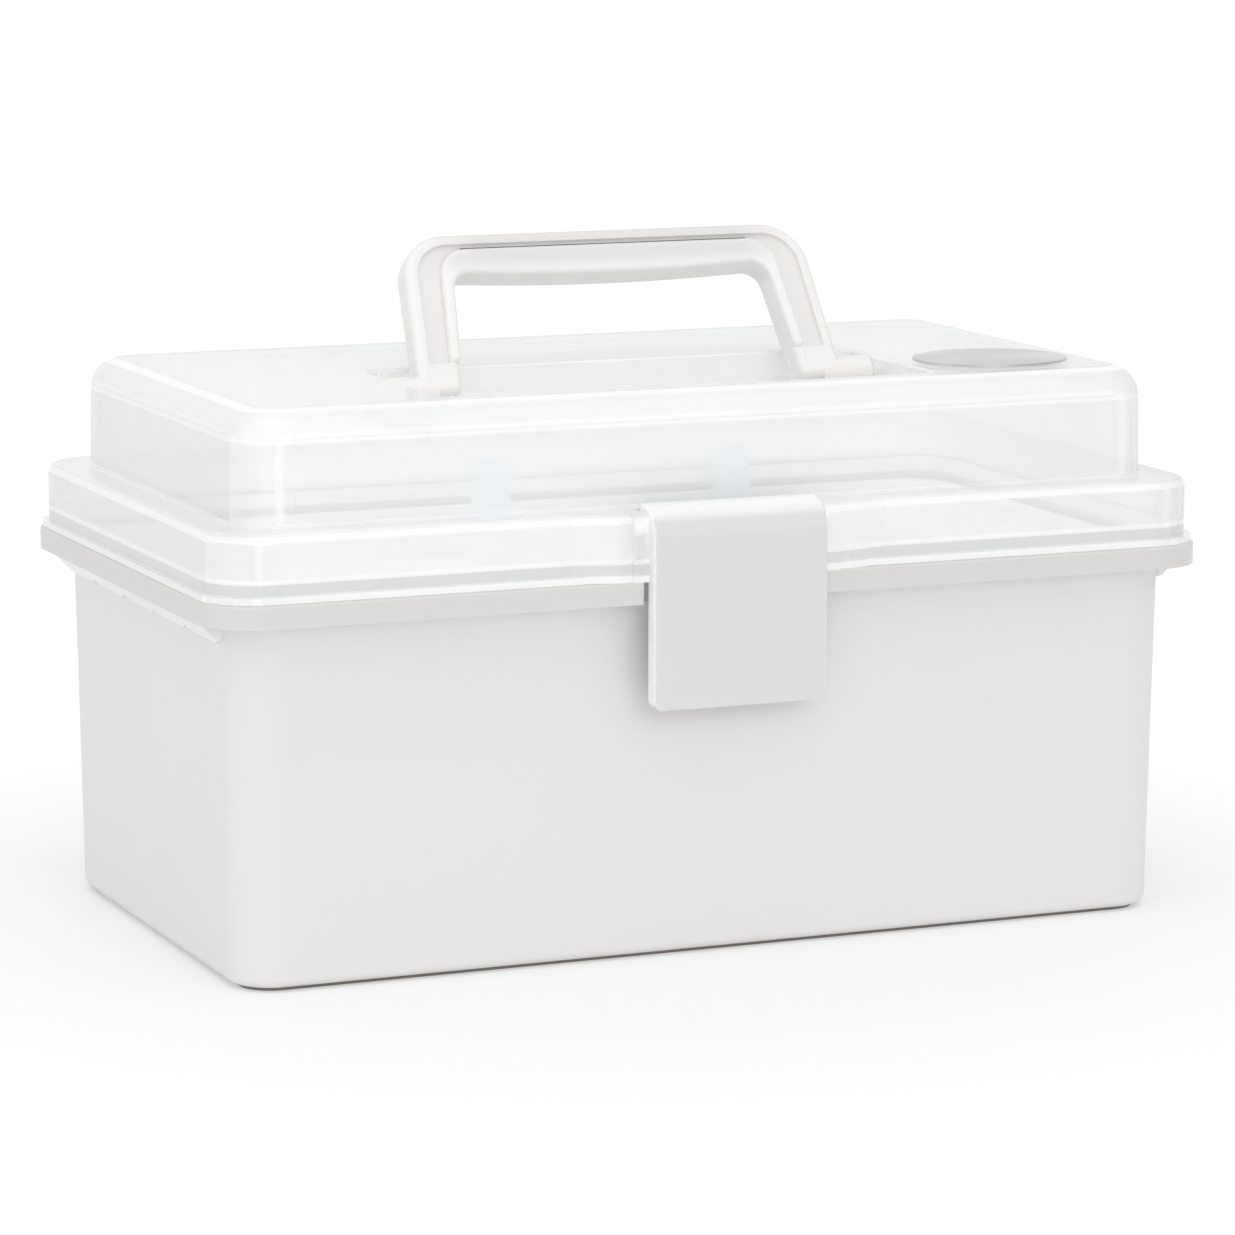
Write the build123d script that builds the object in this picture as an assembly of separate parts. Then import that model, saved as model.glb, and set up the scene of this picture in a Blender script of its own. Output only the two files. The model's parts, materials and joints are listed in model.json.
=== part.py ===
"""Storage case with a clear domed lid, a front latch, a fold-down carry handle and a lift-out tray.

All sizes are in millimetres. +Z is up, -Y is the front, and the origin is the
middle of the flat bottom that the case stands on.
"""
import os
from math import atan2, cos, radians, sin, tan

from build123d import *

# ---- Base: an open box with a turned-down lip and a stepped rim ----
CASE_LENGTH = 330.0        # over the lips
CASE_WIDTH = 190.0         # over the lips
LIP_TOP = 118.5            # height of the lip's upper face
LIP_DROP = 7.0             # height of the lip's outer face
LIP_WALL = 2.0
LIP_CORNER = 18.0          # corner radius of the lip in plan
LIP_REACH = 8.8            # how far the lip stands out from the wall
LIP_EDGE_ROUND = 0.8
NOTCH_GAP = 0.8            # gap for the latch in the lip, beyond the latch's recess
BASE_WALL = 2.2
BASE_FLOOR = 3.0           # top of the floor above the table
BASE_DRAFT = 1.05          # degrees, each wall leans out
BASE_CORNER = 14.0         # corner radius at the bottom
BASE_EDGE_ROUND = 3.0      # round along the bottom edge
FOOT_RISE = 1.2            # the walls end this high above the table
FOOT_INSET = 4.0           # foot plate behind the walls
RIM_RISE = 5.0             # the rim stands up inside the lid's skirt
RIM_WALL = 2.0
RIM_GAP = 0.8              # rim to the inside of the skirt
LEDGE_DROP = 4.0           # step that carries the tray, below the lip's top
LEDGE_PLATE = 2.0

KEEPER_LENGTH = 40.0       # ridge that the latch snaps under
KEEPER_BACK = 8.7          # its tip behind the latch's face
KEEPER_DROP = 2.5          # its top below the lip
KEEPER_HEIGHT = 3.5
KEEPER_NOSE = 1.0          # blunt height of its tip

SCALLOP_COUNT = 5          # lobes of the gusset under each end lip
SCALLOP_PITCH = 30.0
SCALLOP_SAG = 3.2
GUSSET_DROP = 8.6          # height of the sloping gusset below the lip

# ---- Lid: flange, skirt and dome moulded in one ----
SEAT_GAP = 0.2             # between pieces that rest on each other
LID_WALL = 1.8
LID_FLANGE = 2.0
FLANGE_INSET = 0.8         # the flange stops short of the lip
SKIRT_INSET = 2.4          # skirt face behind the lip face
SKIRT_CORNER = 17.0
SKIRT_HEIGHT = 20.3        # seat of the lid to its ledge
LEDGE_ROUND = 3.0
DOME_INSET = 11.0          # dome wall behind the skirt
DOME_HEIGHT = 34.5         # dome above the ledge
DOME_CORNER = 16.0
DOME_ROUND = 10.0          # round between dome walls and top
DOME_DRAFT = 1.0           # degrees, each wall leans in
DOME_FOOT_ROUND = 1.2      # round between the ledge and the dome walls

POCKET_SETBACK = 14.6      # dome face to the recess for the folded handle
POCKET_DEPTH = 13.0
POCKET_CORNER = 8.0
POCKET_WALL = 1.6
POCKET_END_GAP = 10.6      # pocket's end wall to the handle's leg
POCKET_TIP_ROOM = 1.5      # folded bar to the pocket's front wall
POCKET_TAIL = 19.0         # pivot axis to the pocket's back wall
POCKET_ROUND = 1.2         # round of its floor and of its upper edge

# ---- Handle ----
PIVOT_DROP = 5.5           # pivot axis below the top of the dome
HANDLE_LEAN = 31.0         # degrees, the raised handle leans back on its stops
HANDLE_FOOT_SPAN = 144.8   # over the legs, at the pivot
HANDLE_TOP_SPAN = 136.6    # over the legs, at the bar
HANDLE_REACH = 51.5        # pivot axis to the outer edge of the bar
HANDLE_THICK = 10.0
LEG_WIDTH = 13.4
LEG_FLARE = 1.5            # extra width of each leg where it meets the bar
BAR_DEPTH = 13.6           # height of the bar in the plane of the handle
HANDLE_CORNER = 15.0
HANDLE_INNER_CORNER = 6.0
HANDLE_EDGE_ROUND = 2.4
GRIP_DEPTH = 8.0           # height of the fuller lower part of the bar
GRIP_PROUD = 1.2           # it stands in front of the legs
GRIP_SAG = 1.8             # it bows towards the fingers
GRIP_ROUND = 1.5
CHANNEL_RIM = 3.2          # rim left beside the channel, along the finger gap
CHANNEL_EDGE = 3.8         # the same rim along the outer edge
CHANNEL_START = 7.4        # the channel starts above the pivot axis
CHANNEL_DEPTH = 1.3
GROOVE_WIDTH = 0.9
GROOVE_DEPTH = 1.6
GROOVE_LENGTH = 98.0
COLLAR_RADIUS = 5.0
COLLAR_GAP = 0.5
PIVOT_RADIUS = 3.0
PIVOT_GRIP = 4.0           # length of pin that runs in the lid
PIVOT_END_GAP = 0.5        # pin's end to the bottom of its blind hole
RUNNING_FIT = 0.05         # radial clearance of a pin in its hole
BOSS_WALL = 2.0
BOSS_CAP = 1.2             # wall left behind the blind hole
STOP_WIDTH = 4.0           # ribs that the raised handle leans on
STOP_DROP = 1.5            # their top below the dome's top

# ---- Latch: a plate hung from two lugs on the lid ----
LATCH_WIDTH = 57.0
LATCH_HANG = 32.0          # its lower edge below the lip
LATCH_PROUD = 7.9          # its face in front of the skirt
LATCH_DEPTH = 5.0          # how far its side walls reach back
LATCH_WALL = 2.2
LATCH_BEND = 10.0          # outer radius of the bend over the ledge
LATCH_RISE = 2.3           # top of the latch above the ledge
LATCH_TOP_DEPTH = 11.7     # face to the back edge of its top
LATCH_NECK = 5.0           # height of the slope from side walls to hook
LATCH_EDGE_ROUND = 0.8
LATCH_CORNER = 3.0
LATCH_PIN_RADIUS = 2.0
LATCH_PIN_GRIP = 3.2       # length of pin that runs in a lug
LATCH_PIN_END_GAP = 0.4
LATCH_PIN_BACK = 8.0       # pin axis behind the latch face
LATCH_PIN_DROP = 5.0       # pin axis below the ledge
LATCH_SIDE_GAP = 0.5
SNAP_LENGTH = 36.0
SNAP_HEIGHT = 2.4
SNAP_GAP = 0.3             # the bite is elastic and is left out

LUG_LENGTH = 5.0
LUG_PROUD = 4.9            # lug face in front of the skirt
LUG_EYE_WALL = 2.0
PAD_PROUD = 3.6            # pad face in front of the skirt
PAD_MARGIN = 4.5           # pad beyond each lug
PAD_RAMP = 13.0            # length of the slope at each end of the pad
RECESS_BACK = 2.0          # back of the latch recess in front of the dome wall
RECESS_WALL = 1.6

# ---- Rear hinges ----
HINGE_OFFSET = 95.0        # centre of each hinge from the middle
HINGE_REACH = 5.5          # pin axis behind the rear lip
HINGE_PIN_RADIUS = 2.0
HINGE_WIDTH = 25.0         # between the two lugs
HINGE_LUG = 3.0
HINGE_LUG_WALL = 2.2       # material round the pin
HINGE_SIDE_GAP = 0.4
KNUCKLE_WALL = 2.0
KNUCKLE_MOUTH = 3.2        # slot that snaps over the pin
KNUCKLE_MOUTH_TURN = 50.0  # degrees, the slot opens back and down

# ---- Badge ----
BADGE_MARGIN = 3.5         # flat left at each end, between pocket and dome round
BADGE_WIDTH = 45.0
BADGE_END_SHARE = 0.9      # radius of its ends, as a share of half its width
BADGE_SETBACK = 41.1       # its centre behind the dome's front
BADGE_THICK = 1.1
BADGE_SEAT = 0.4
BADGE_BEVEL = 0.35

# ---- Tray ----
TRAY_FLANGE = 2.0
TRAY_FLANGE_GAP = 2.4      # flange edge to the rim
TRAY_FLANGE_CORNER = 17.0
TRAY_WALL = 1.6
TRAY_WALL_GAP = 3.2        # tray wall to the base wall
TRAY_DEPTH = 34.0
TRAY_DRAFT = 1.5           # degrees, each wall leans out
TRAY_CORNER = 10.0
WELL_CORNER = 4.0
WELL_BEVEL = 1.5
FRONT_WELLS = 3
BACK_WELLS = 4
DIVIDER_WALL = 1.6
DIVIDER_DROP = 3.0         # dividers end below the flange
TAB_SPACING = 83.0
TAB_WIDTH = 12.5
TAB_HEIGHT = 27.3          # tab above the flange
TAB_ROOT = 6.0             # tab sunk into the divider
TAB_CORNER = 2.5

MERGE = 1.0                # overlap of pieces of one moulding, and of cuts past a face
LEVEL_BAND = 0.01          # how far an edge may lie from the height asked for

# ---- Sizes worked out from the ones above ----
HALF_LENGTH = CASE_LENGTH / 2
HALF_WIDTH = CASE_WIDTH / 2
LIP_BOTTOM = LIP_TOP - LIP_DROP
WALL_LENGTH = CASE_LENGTH - 2 * LIP_REACH
WALL_WIDTH = CASE_WIDTH - 2 * LIP_REACH
RIM_TOP = LIP_TOP + RIM_RISE
TRAY_LEDGE = LIP_TOP - LEDGE_DROP
SKIRT_LENGTH = CASE_LENGTH - 2 * SKIRT_INSET
SKIRT_WIDTH = CASE_WIDTH - 2 * SKIRT_INSET
SKIRT_FACE = -SKIRT_WIDTH / 2
RIM_LENGTH = SKIRT_LENGTH - 2 * (LID_WALL + RIM_GAP)
RIM_WIDTH = SKIRT_WIDTH - 2 * (LID_WALL + RIM_GAP)
RIM_CORNER = SKIRT_CORNER - LID_WALL - RIM_GAP
LID_BOTTOM = LIP_TOP + SEAT_GAP
LEDGE_TOP = LID_BOTTOM + SKIRT_HEIGHT
DOME_TOP = LEDGE_TOP + DOME_HEIGHT
DOME_LENGTH = SKIRT_LENGTH - 2 * DOME_INSET
DOME_WIDTH = SKIRT_WIDTH - 2 * DOME_INSET
DOME_FACE = -DOME_WIDTH / 2
POCKET_LENGTH = HANDLE_FOOT_SPAN + 2 * POCKET_END_GAP
POCKET_FRONT = DOME_FACE + POCKET_SETBACK
PIVOT_Y = POCKET_FRONT + POCKET_TIP_ROOM + HANDLE_REACH
PIVOT_Z = DOME_TOP - PIVOT_DROP
POCKET_BACK = PIVOT_Y + POCKET_TAIL
POCKET_FLOOR = DOME_TOP - POCKET_DEPTH
POCKET_MIDDLE = (POCKET_FRONT + POCKET_BACK) / 2
POCKET_WIDTH = POCKET_BACK - POCKET_FRONT
LATCH_FACE = SKIRT_FACE - LATCH_PROUD
LATCH_TOP = LEDGE_TOP + LATCH_RISE
LATCH_BOTTOM = LIP_BOTTOM - LATCH_HANG
LATCH_PIN_Y = LATCH_FACE + LATCH_PIN_BACK
LATCH_PIN_Z = LEDGE_TOP - LATCH_PIN_DROP
RECESS_HALF = LATCH_WIDTH / 2 + LATCH_SIDE_GAP
RECESS_FLOOR = RIM_TOP + SEAT_GAP + RECESS_WALL
LUG_FAR = RECESS_HALF + LUG_LENGTH
NOTCH_HALF = RECESS_HALF + NOTCH_GAP
KEEPER_TIP = LATCH_FACE + KEEPER_BACK
KEEPER_TOP = LIP_BOTTOM - KEEPER_DROP
HINGE_Y = HALF_WIDTH + HINGE_REACH
HINGE_Z = LID_BOTTOM + LID_FLANGE / 2
HINGE_LUG_RADIUS = HINGE_PIN_RADIUS + HINGE_LUG_WALL
FLAT_START = POCKET_LENGTH / 2 + POCKET_WALL
FLAT_END = DOME_LENGTH / 2 - DOME_ROUND
BADGE_LENGTH = FLAT_END - FLAT_START - 2 * BADGE_MARGIN
BADGE_X = (FLAT_START + FLAT_END) / 2
BADGE_Y = DOME_FACE + BADGE_SETBACK
BADGE_BOTTOM = DOME_TOP - BADGE_SEAT
TRAY_TOP = TRAY_LEDGE + SEAT_GAP + TRAY_FLANGE
TRAY_BOTTOM = TRAY_TOP - TRAY_DEPTH
TRAY_LENGTH = WALL_LENGTH - 2 * (BASE_WALL + TRAY_WALL_GAP)
TRAY_WIDTH = WALL_WIDTH - 2 * (BASE_WALL + TRAY_WALL_GAP)


def block(length, width, corner, bottom, top, draft=0.0):
    """Upright block with rounded corners; a positive draft narrows it upwards."""
    outline = Pos(0, 0, bottom) * RectangleRounded(length, width, corner)
    return extrude(outline, top - bottom, taper=draft)


def box_between(low, high):
    """Plain box between two opposite corners."""
    size = [b - a for a, b in zip(low, high)]
    middle = [(a + b) / 2 for a, b in zip(low, high)]
    return Pos(*middle) * Box(*size)


def rod_x(radius, start, end, y, z):
    """Round bar along X."""
    return Pos((start + end) / 2, y, z) * Rot(0, 90, 0) * Cylinder(radius, end - start)


def prism_x(outline, start, end):
    """Closed (y, z) outline, as a face or as its corners, pushed along X from start to end."""
    face = outline if isinstance(outline, Sketch) else make_face(Polyline(outline, close=True))
    upright = Plane(origin=(start, 0, 0), x_dir=(0, 1, 0), z_dir=(1, 0, 0))
    return extrude(upright * face, end - start)


def edges_at(solid, height):
    """Edges that lie level at one height."""
    return solid.edges().filter_by_position(Axis.Z, height - LEVEL_BAND, height + LEVEL_BAND)


def is_within(edge, area):
    """Whether an edge's middle lies over a centred box, seen from above."""
    middle = edge @ 0.5
    half = area.bounding_box().size / 2
    return abs(middle.X) <= half.X and abs(middle.Y) <= half.Y


def on_side(solid, side):
    """A piece drawn for the right end, mirrored for the left one."""
    return solid if side > 0 else mirror(solid, Plane.YZ)


# ---------------------------------------------------------------- base

def base_body():
    """Tapered outer wall, rounded at the bottom and set on a foot plate, and the space inside it."""
    spread = 2 * (TRAY_LEDGE - FOOT_RISE) * tan(radians(BASE_DRAFT))
    low_length = WALL_LENGTH - spread
    low_width = WALL_WIDTH - spread
    outer = block(low_length, low_width, BASE_CORNER, FOOT_RISE, TRAY_LEDGE, -BASE_DRAFT)
    outer = fillet(edges_at(outer, FOOT_RISE), BASE_EDGE_ROUND)
    outer += block(
        low_length - 2 * FOOT_INSET, low_width - 2 * FOOT_INSET, BASE_CORNER - FOOT_INSET, 0, BASE_FLOOR
    )
    rise = 2 * (BASE_FLOOR - FOOT_RISE) * tan(radians(BASE_DRAFT))
    inner = block(
        low_length + rise - 2 * BASE_WALL,
        low_width + rise - 2 * BASE_WALL,
        BASE_CORNER - BASE_WALL,
        BASE_FLOOR,
        TRAY_LEDGE + MERGE,
        -BASE_DRAFT,
    )
    inner = fillet(edges_at(inner, BASE_FLOOR), BASE_EDGE_ROUND - BASE_WALL)
    return outer, inner


def base_rim():
    """Step that carries the tray, with the rim that stands up inside the lid."""
    outer = block(RIM_LENGTH, RIM_WIDTH, RIM_CORNER, TRAY_LEDGE - LEDGE_PLATE, RIM_TOP)
    bore = block(
        RIM_LENGTH - 2 * RIM_WALL,
        RIM_WIDTH - 2 * RIM_WALL,
        RIM_CORNER - RIM_WALL,
        TRAY_LEDGE,
        RIM_TOP,
    )
    return outer - bore


def base_lip():
    """Turned-down lip round the rim, with the gap for the latch."""
    outer = block(CASE_LENGTH, CASE_WIDTH, LIP_CORNER, LIP_BOTTOM, LIP_TOP)
    outer = fillet(edges_at(outer, LIP_TOP), LIP_EDGE_ROUND)
    hollow = block(
        CASE_LENGTH - 2 * LIP_WALL,
        CASE_WIDTH - 2 * LIP_WALL,
        LIP_CORNER - LIP_WALL,
        LIP_BOTTOM,
        LIP_TOP - LIP_WALL,
    )
    core = block(RIM_LENGTH - MERGE, RIM_WIDTH - MERGE, RIM_CORNER - MERGE / 2, LIP_BOTTOM, LIP_TOP)
    cheeks = box_between(
        (-NOTCH_HALF - LIP_WALL, -HALF_WIDTH + LIP_WALL / 2, LIP_BOTTOM),
        (NOTCH_HALF + LIP_WALL, -RIM_WIDTH / 2, LIP_TOP - LIP_WALL / 2),
    )
    notch = box_between(
        (-NOTCH_HALF, -HALF_WIDTH - MERGE, LIP_BOTTOM - MERGE),
        (NOTCH_HALF, -RIM_WIDTH / 2, LIP_TOP + MERGE),
    )
    return outer - hollow - core + cheeks - notch


def end_gusset():
    """Sloping gusset under the right end lip, its lower edge cut in round lobes."""
    wall = HALF_LENGTH - LIP_REACH - MERGE
    tip = HALF_LENGTH - LIP_WALL
    low = LIP_BOTTOM - GUSSET_DROP
    high = LIP_BOTTOM + MERGE
    valley = low + SCALLOP_SAG
    half = SCALLOP_COUNT * SCALLOP_PITCH / 2
    slope = make_face(Polyline([(wall, high), (tip, high), (tip, LIP_BOTTOM), (wall, low)], close=True))
    across = Plane(origin=(0, half, 0), x_dir=(1, 0, 0), z_dir=(0, -1, 0))
    wedge = extrude(across * slope, 2 * half)
    edge = Polyline([(half, valley), (half, high), (-half, high), (-half, valley)])
    for lobe in range(SCALLOP_COUNT):
        left = -half + lobe * SCALLOP_PITCH
        middle = left + SCALLOP_PITCH / 2
        right = left + SCALLOP_PITCH
        edge += ThreePointArc((left, valley), (middle, low), (right, valley))
    return wedge & prism_x(make_face(edge), wall - MERGE, HALF_LENGTH)


def keeper():
    """Ridge on the front wall that holds the latch shut."""
    wall = -WALL_WIDTH / 2 + MERGE
    low = KEEPER_TOP - KEEPER_HEIGHT
    points = [(wall, low), (KEEPER_TIP, low), (KEEPER_TIP, low + KEEPER_NOSE), (wall, KEEPER_TOP)]
    return prism_x(points, -KEEPER_LENGTH / 2, KEEPER_LENGTH / 2)


def hinge_lug(x):
    """Rounded lug behind the rear lip that holds one end of a hinge pin."""
    root = HALF_WIDTH - LIP_WALL / 2
    arm = prism_x(
        [
            (root, LIP_BOTTOM),
            (HINGE_Y + HINGE_LUG_RADIUS, HINGE_Z),
            (HINGE_Y, HINGE_Z + HINGE_LUG_RADIUS),
            (root, LIP_TOP),
        ],
        x,
        x + HINGE_LUG,
    )
    eye = rod_x(HINGE_LUG_RADIUS, x, x + HINGE_LUG, HINGE_Y, HINGE_Z)
    above_lip = box_between(
        (x - MERGE, root - MERGE, LIP_TOP),
        (x + HINGE_LUG + MERGE, HALF_WIDTH + LIP_EDGE_ROUND, LIP_TOP + HINGE_LUG_RADIUS + MERGE),
    )
    return arm + eye - above_lip


def base_hinge():
    """The right hinge's two lugs with the pin moulded between them."""
    left = HINGE_OFFSET - HINGE_WIDTH / 2
    right = HINGE_OFFSET + HINGE_WIDTH / 2
    pin = rod_x(HINGE_PIN_RADIUS, left - MERGE, right + MERGE, HINGE_Y, HINGE_Z)
    return hinge_lug(left - HINGE_LUG) + hinge_lug(right) + pin


def base_shell():
    """Whole base, moulded in one piece."""
    outer, inner = base_body()
    shell = outer + base_rim() + base_lip() + keeper()
    for side in (-1, 1):
        shell += on_side(end_gusset(), side) + on_side(base_hinge(), side)
    return shell - inner


# ---------------------------------------------------------------- lid

def latch_pad():
    """Shallow pad on the front of the skirt, ramped at both ends."""
    top = LUG_FAR + PAD_MARGIN
    foot = top + PAD_RAMP
    face = SKIRT_FACE - PAD_PROUD
    back = SKIRT_FACE + LID_WALL
    outline = Polyline(
        [(-foot, back), (-foot, SKIRT_FACE), (-top, face), (top, face), (foot, SKIRT_FACE), (foot, back)],
        close=True,
    )
    return extrude(Pos(0, 0, LID_BOTTOM) * make_face(outline), LEDGE_TOP - LID_BOTTOM)


def lid_outside():
    """Flange, skirt with its rounded ledge, and rounded dome."""
    skirt = block(SKIRT_LENGTH, SKIRT_WIDTH, SKIRT_CORNER, LID_BOTTOM, LEDGE_TOP) + latch_pad()
    skirt = fillet(edges_at(skirt, LEDGE_TOP), LEDGE_ROUND)
    dome = block(DOME_LENGTH, DOME_WIDTH, DOME_CORNER, LEDGE_TOP, DOME_TOP, DOME_DRAFT)
    dome = fillet(edges_at(dome, DOME_TOP), DOME_ROUND)
    dome_foot = Box(DOME_LENGTH + MERGE, DOME_WIDTH + MERGE, MERGE)
    body = skirt + dome
    crease = [edge for edge in edges_at(body, LEDGE_TOP) if is_within(edge, dome_foot)]
    body = fillet(crease, DOME_FOOT_ROUND)
    flange = block(
        CASE_LENGTH - 2 * FLANGE_INSET,
        CASE_WIDTH - 2 * FLANGE_INSET,
        LIP_CORNER - FLANGE_INSET,
        LID_BOTTOM,
        LID_BOTTOM + LID_FLANGE,
    )
    return body + flange


def lid_inside():
    """Hollow of the skirt and the dome."""
    skirt = block(
        SKIRT_LENGTH - 2 * LID_WALL,
        SKIRT_WIDTH - 2 * LID_WALL,
        SKIRT_CORNER - LID_WALL,
        LID_BOTTOM - MERGE,
        LEDGE_TOP - LID_WALL,
    )
    dome = block(
        DOME_LENGTH - 2 * LID_WALL,
        DOME_WIDTH - 2 * LID_WALL,
        DOME_CORNER - LID_WALL,
        LEDGE_TOP - LID_WALL - MERGE,
        DOME_TOP - LID_WALL,
        DOME_DRAFT,
    )
    dome = fillet(edges_at(dome, DOME_TOP - LID_WALL), DOME_ROUND - LID_WALL)
    return skirt + dome


def handle_pocket():
    """Walls of the recess in the top, and the space inside them."""
    walls = Pos(0, POCKET_MIDDLE, 0) * block(
        POCKET_LENGTH + 2 * POCKET_WALL,
        POCKET_WIDTH + 2 * POCKET_WALL,
        POCKET_CORNER + POCKET_WALL,
        POCKET_FLOOR - POCKET_WALL,
        DOME_TOP - LID_WALL / 2,
    )
    space = Pos(0, POCKET_MIDDLE, 0) * block(
        POCKET_LENGTH, POCKET_WIDTH, POCKET_CORNER, POCKET_FLOOR, DOME_TOP + MERGE
    )
    return walls, fillet(edges_at(space, POCKET_FLOOR), POCKET_ROUND)


def pivot_boss():
    """Boss behind the pocket's right wall, and the blind hole for the handle's pin."""
    wall = POCKET_LENGTH / 2
    hole_end = wall + PIVOT_GRIP + PIVOT_END_GAP
    bore = PIVOT_RADIUS + RUNNING_FIT
    boss = rod_x(bore + BOSS_WALL, wall + POCKET_WALL / 2, hole_end + BOSS_CAP, PIVOT_Y, PIVOT_Z)
    hole = rod_x(bore, wall - MERGE, hole_end, PIVOT_Y, PIVOT_Z)
    return boss, hole


def handle_stop():
    """Rib whose sloping face carries the raised handle's right leg."""
    lean = radians(HANDLE_LEAN)
    offset = HANDLE_THICK / 2 + SEAT_GAP

    def face_y(z):
        return PIVOT_Y + (offset + (z - PIVOT_Z) * sin(lean)) / cos(lean)

    low = POCKET_FLOOR - POCKET_WALL / 2
    high = DOME_TOP - STOP_DROP
    back = POCKET_BACK + POCKET_WALL / 2
    middle = (HANDLE_FOOT_SPAN - LEG_WIDTH) / 2
    points = [(face_y(low), low), (back, low), (back, high), (face_y(high), high)]
    return prism_x(points, middle - STOP_WIDTH / 2, middle + STOP_WIDTH / 2)


def latch_recess():
    """Recess that the latch turns in: its lining and its open space."""
    half = RECESS_HALF
    back = DOME_FACE - RECESS_BACK
    outside = SKIRT_FACE - LUG_PROUD - MERGE
    lining = box_between(
        (-half - RECESS_WALL, SKIRT_FACE + LID_WALL / 2, RECESS_FLOOR - RECESS_WALL),
        (half + RECESS_WALL, back + RECESS_WALL, LEDGE_TOP - LID_WALL / 2),
    )
    upper = box_between((-half, outside, RECESS_FLOOR), (half, back, LATCH_TOP + MERGE))
    lower = box_between(
        (-half, outside, LID_BOTTOM - MERGE), (half, SKIRT_FACE + LID_WALL, RECESS_FLOOR + MERGE)
    )
    return lining, upper + lower


def latch_lug():
    """Lug beside the latch's right edge, and the hole for its pin."""
    near = RECESS_HALF
    far = LUG_FAR
    lug = box_between((near, SKIRT_FACE - LUG_PROUD, LID_BOTTOM), (far, SKIRT_FACE + LID_WALL, LEDGE_TOP))
    top_front = lug.edges().filter_by(Axis.X).sort_by(Axis.Z)[-2:].sort_by(Axis.Y)[:1]
    lug = fillet(top_front, LEDGE_ROUND)
    hole_end = near + LATCH_PIN_GRIP + LATCH_PIN_END_GAP
    hole = rod_x(LATCH_PIN_RADIUS + RUNNING_FIT, near - MERGE, hole_end, LATCH_PIN_Y, LATCH_PIN_Z)
    eye = rod_x(LATCH_PIN_RADIUS + LUG_EYE_WALL, near, far, LATCH_PIN_Y, LATCH_PIN_Z)
    return lug + eye, hole


def lid_knuckle():
    """Open clip that snaps over the right hinge pin, with its arm, and the clip's bore."""
    left = HINGE_OFFSET - HINGE_WIDTH / 2 + HINGE_SIDE_GAP
    right = HINGE_OFFSET + HINGE_WIDTH / 2 - HINGE_SIDE_GAP
    bore_radius = HINGE_PIN_RADIUS + RUNNING_FIT
    ring = rod_x(bore_radius + KNUCKLE_WALL, left, right, HINGE_Y, HINGE_Z)
    arm = box_between((left, HALF_WIDTH - LIP_WALL, LID_BOTTOM), (right, HINGE_Y, LID_BOTTOM + LID_FLANGE))
    bore = rod_x(bore_radius, left - MERGE, right + MERGE, HINGE_Y, HINGE_Z)
    mouth = box_between(
        (left - MERGE, 0, -KNUCKLE_MOUTH / 2),
        (right + MERGE, bore_radius + KNUCKLE_WALL + MERGE, KNUCKLE_MOUTH / 2),
    )
    return ring + arm, bore + Pos(0, HINGE_Y, HINGE_Z) * Rot(-KNUCKLE_MOUTH_TURN, 0, 0) * mouth


def badge_outline(height):
    """Oval of the badge at one height, made of four arcs that run smoothly into each other."""
    half_length = BADGE_LENGTH / 2
    half_width = BADGE_WIDTH / 2
    end_radius = BADGE_END_SHARE * half_width
    end_centre = half_length - end_radius
    side_radius = (end_centre**2 + half_width**2 - end_radius**2) / (2 * (half_width - end_radius))
    turn = atan2(side_radius - half_width, end_centre)
    meet_x = end_centre + end_radius * cos(turn)
    meet_y = end_radius * sin(turn)
    oval = ThreePointArc((meet_x, -meet_y), (half_length, 0), (meet_x, meet_y))
    oval += ThreePointArc((meet_x, meet_y), (0, half_width), (-meet_x, meet_y))
    oval += ThreePointArc((-meet_x, meet_y), (-half_length, 0), (-meet_x, -meet_y))
    oval += ThreePointArc((-meet_x, -meet_y), (0, -half_width), (meet_x, -meet_y))
    return Pos(BADGE_X, BADGE_Y, height) * make_face(oval)


def lid_shell():
    """Whole clear lid, moulded in one piece."""
    walls, pocket = handle_pocket()
    lining, recess = latch_recess()
    shell = lid_outside() - lid_inside() + walls + lining - pocket - recess
    mouth = Box(POCKET_LENGTH + MERGE, 2 * max(-POCKET_FRONT, POCKET_BACK) + MERGE, MERGE)
    shell = fillet([edge for edge in edges_at(shell, DOME_TOP) if is_within(edge, mouth)], POCKET_ROUND)
    for side in (-1, 1):
        for piece, hole in (pivot_boss(), latch_lug(), lid_knuckle()):
            shell += on_side(piece, side)
            shell -= on_side(hole, side)
        shell += on_side(handle_stop(), side)
    return shell - extrude(badge_outline(BADGE_BOTTOM), BADGE_THICK)


def lid_badge():
    """Bare oval plate set in a shallow seat on the dome."""
    plate = extrude(badge_outline(BADGE_BOTTOM), BADGE_THICK)
    return chamfer(edges_at(plate, BADGE_BOTTOM + BADGE_THICK), BADGE_BEVEL)


# ---------------------------------------------------------------- latch

def latch_profile(inset):
    """Side view of the latch, drawn in by an inset at its front and top and open at its back."""
    face = LATCH_FACE + inset
    top = LATCH_TOP - inset
    bend = LATCH_BEND - inset
    back = LATCH_FACE + LATCH_TOP_DEPTH + inset
    heel = LATCH_FACE + LATCH_DEPTH + inset
    bottom = LATCH_BOTTOM + inset
    hook_low = LATCH_PIN_Z - 2 * inset
    neck_low = hook_low - LATCH_NECK
    turn = bend * (1 - sin(radians(45)))
    outline = Polyline([
        (face + bend, top), (back, top), (back, hook_low),
        (heel, neck_low), (heel, bottom), (face, bottom), (face, top - bend),
    ])
    outline += ThreePointArc((face, top - bend), (face + turn, top - turn), (face + bend, top))
    return make_face(outline)


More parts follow.
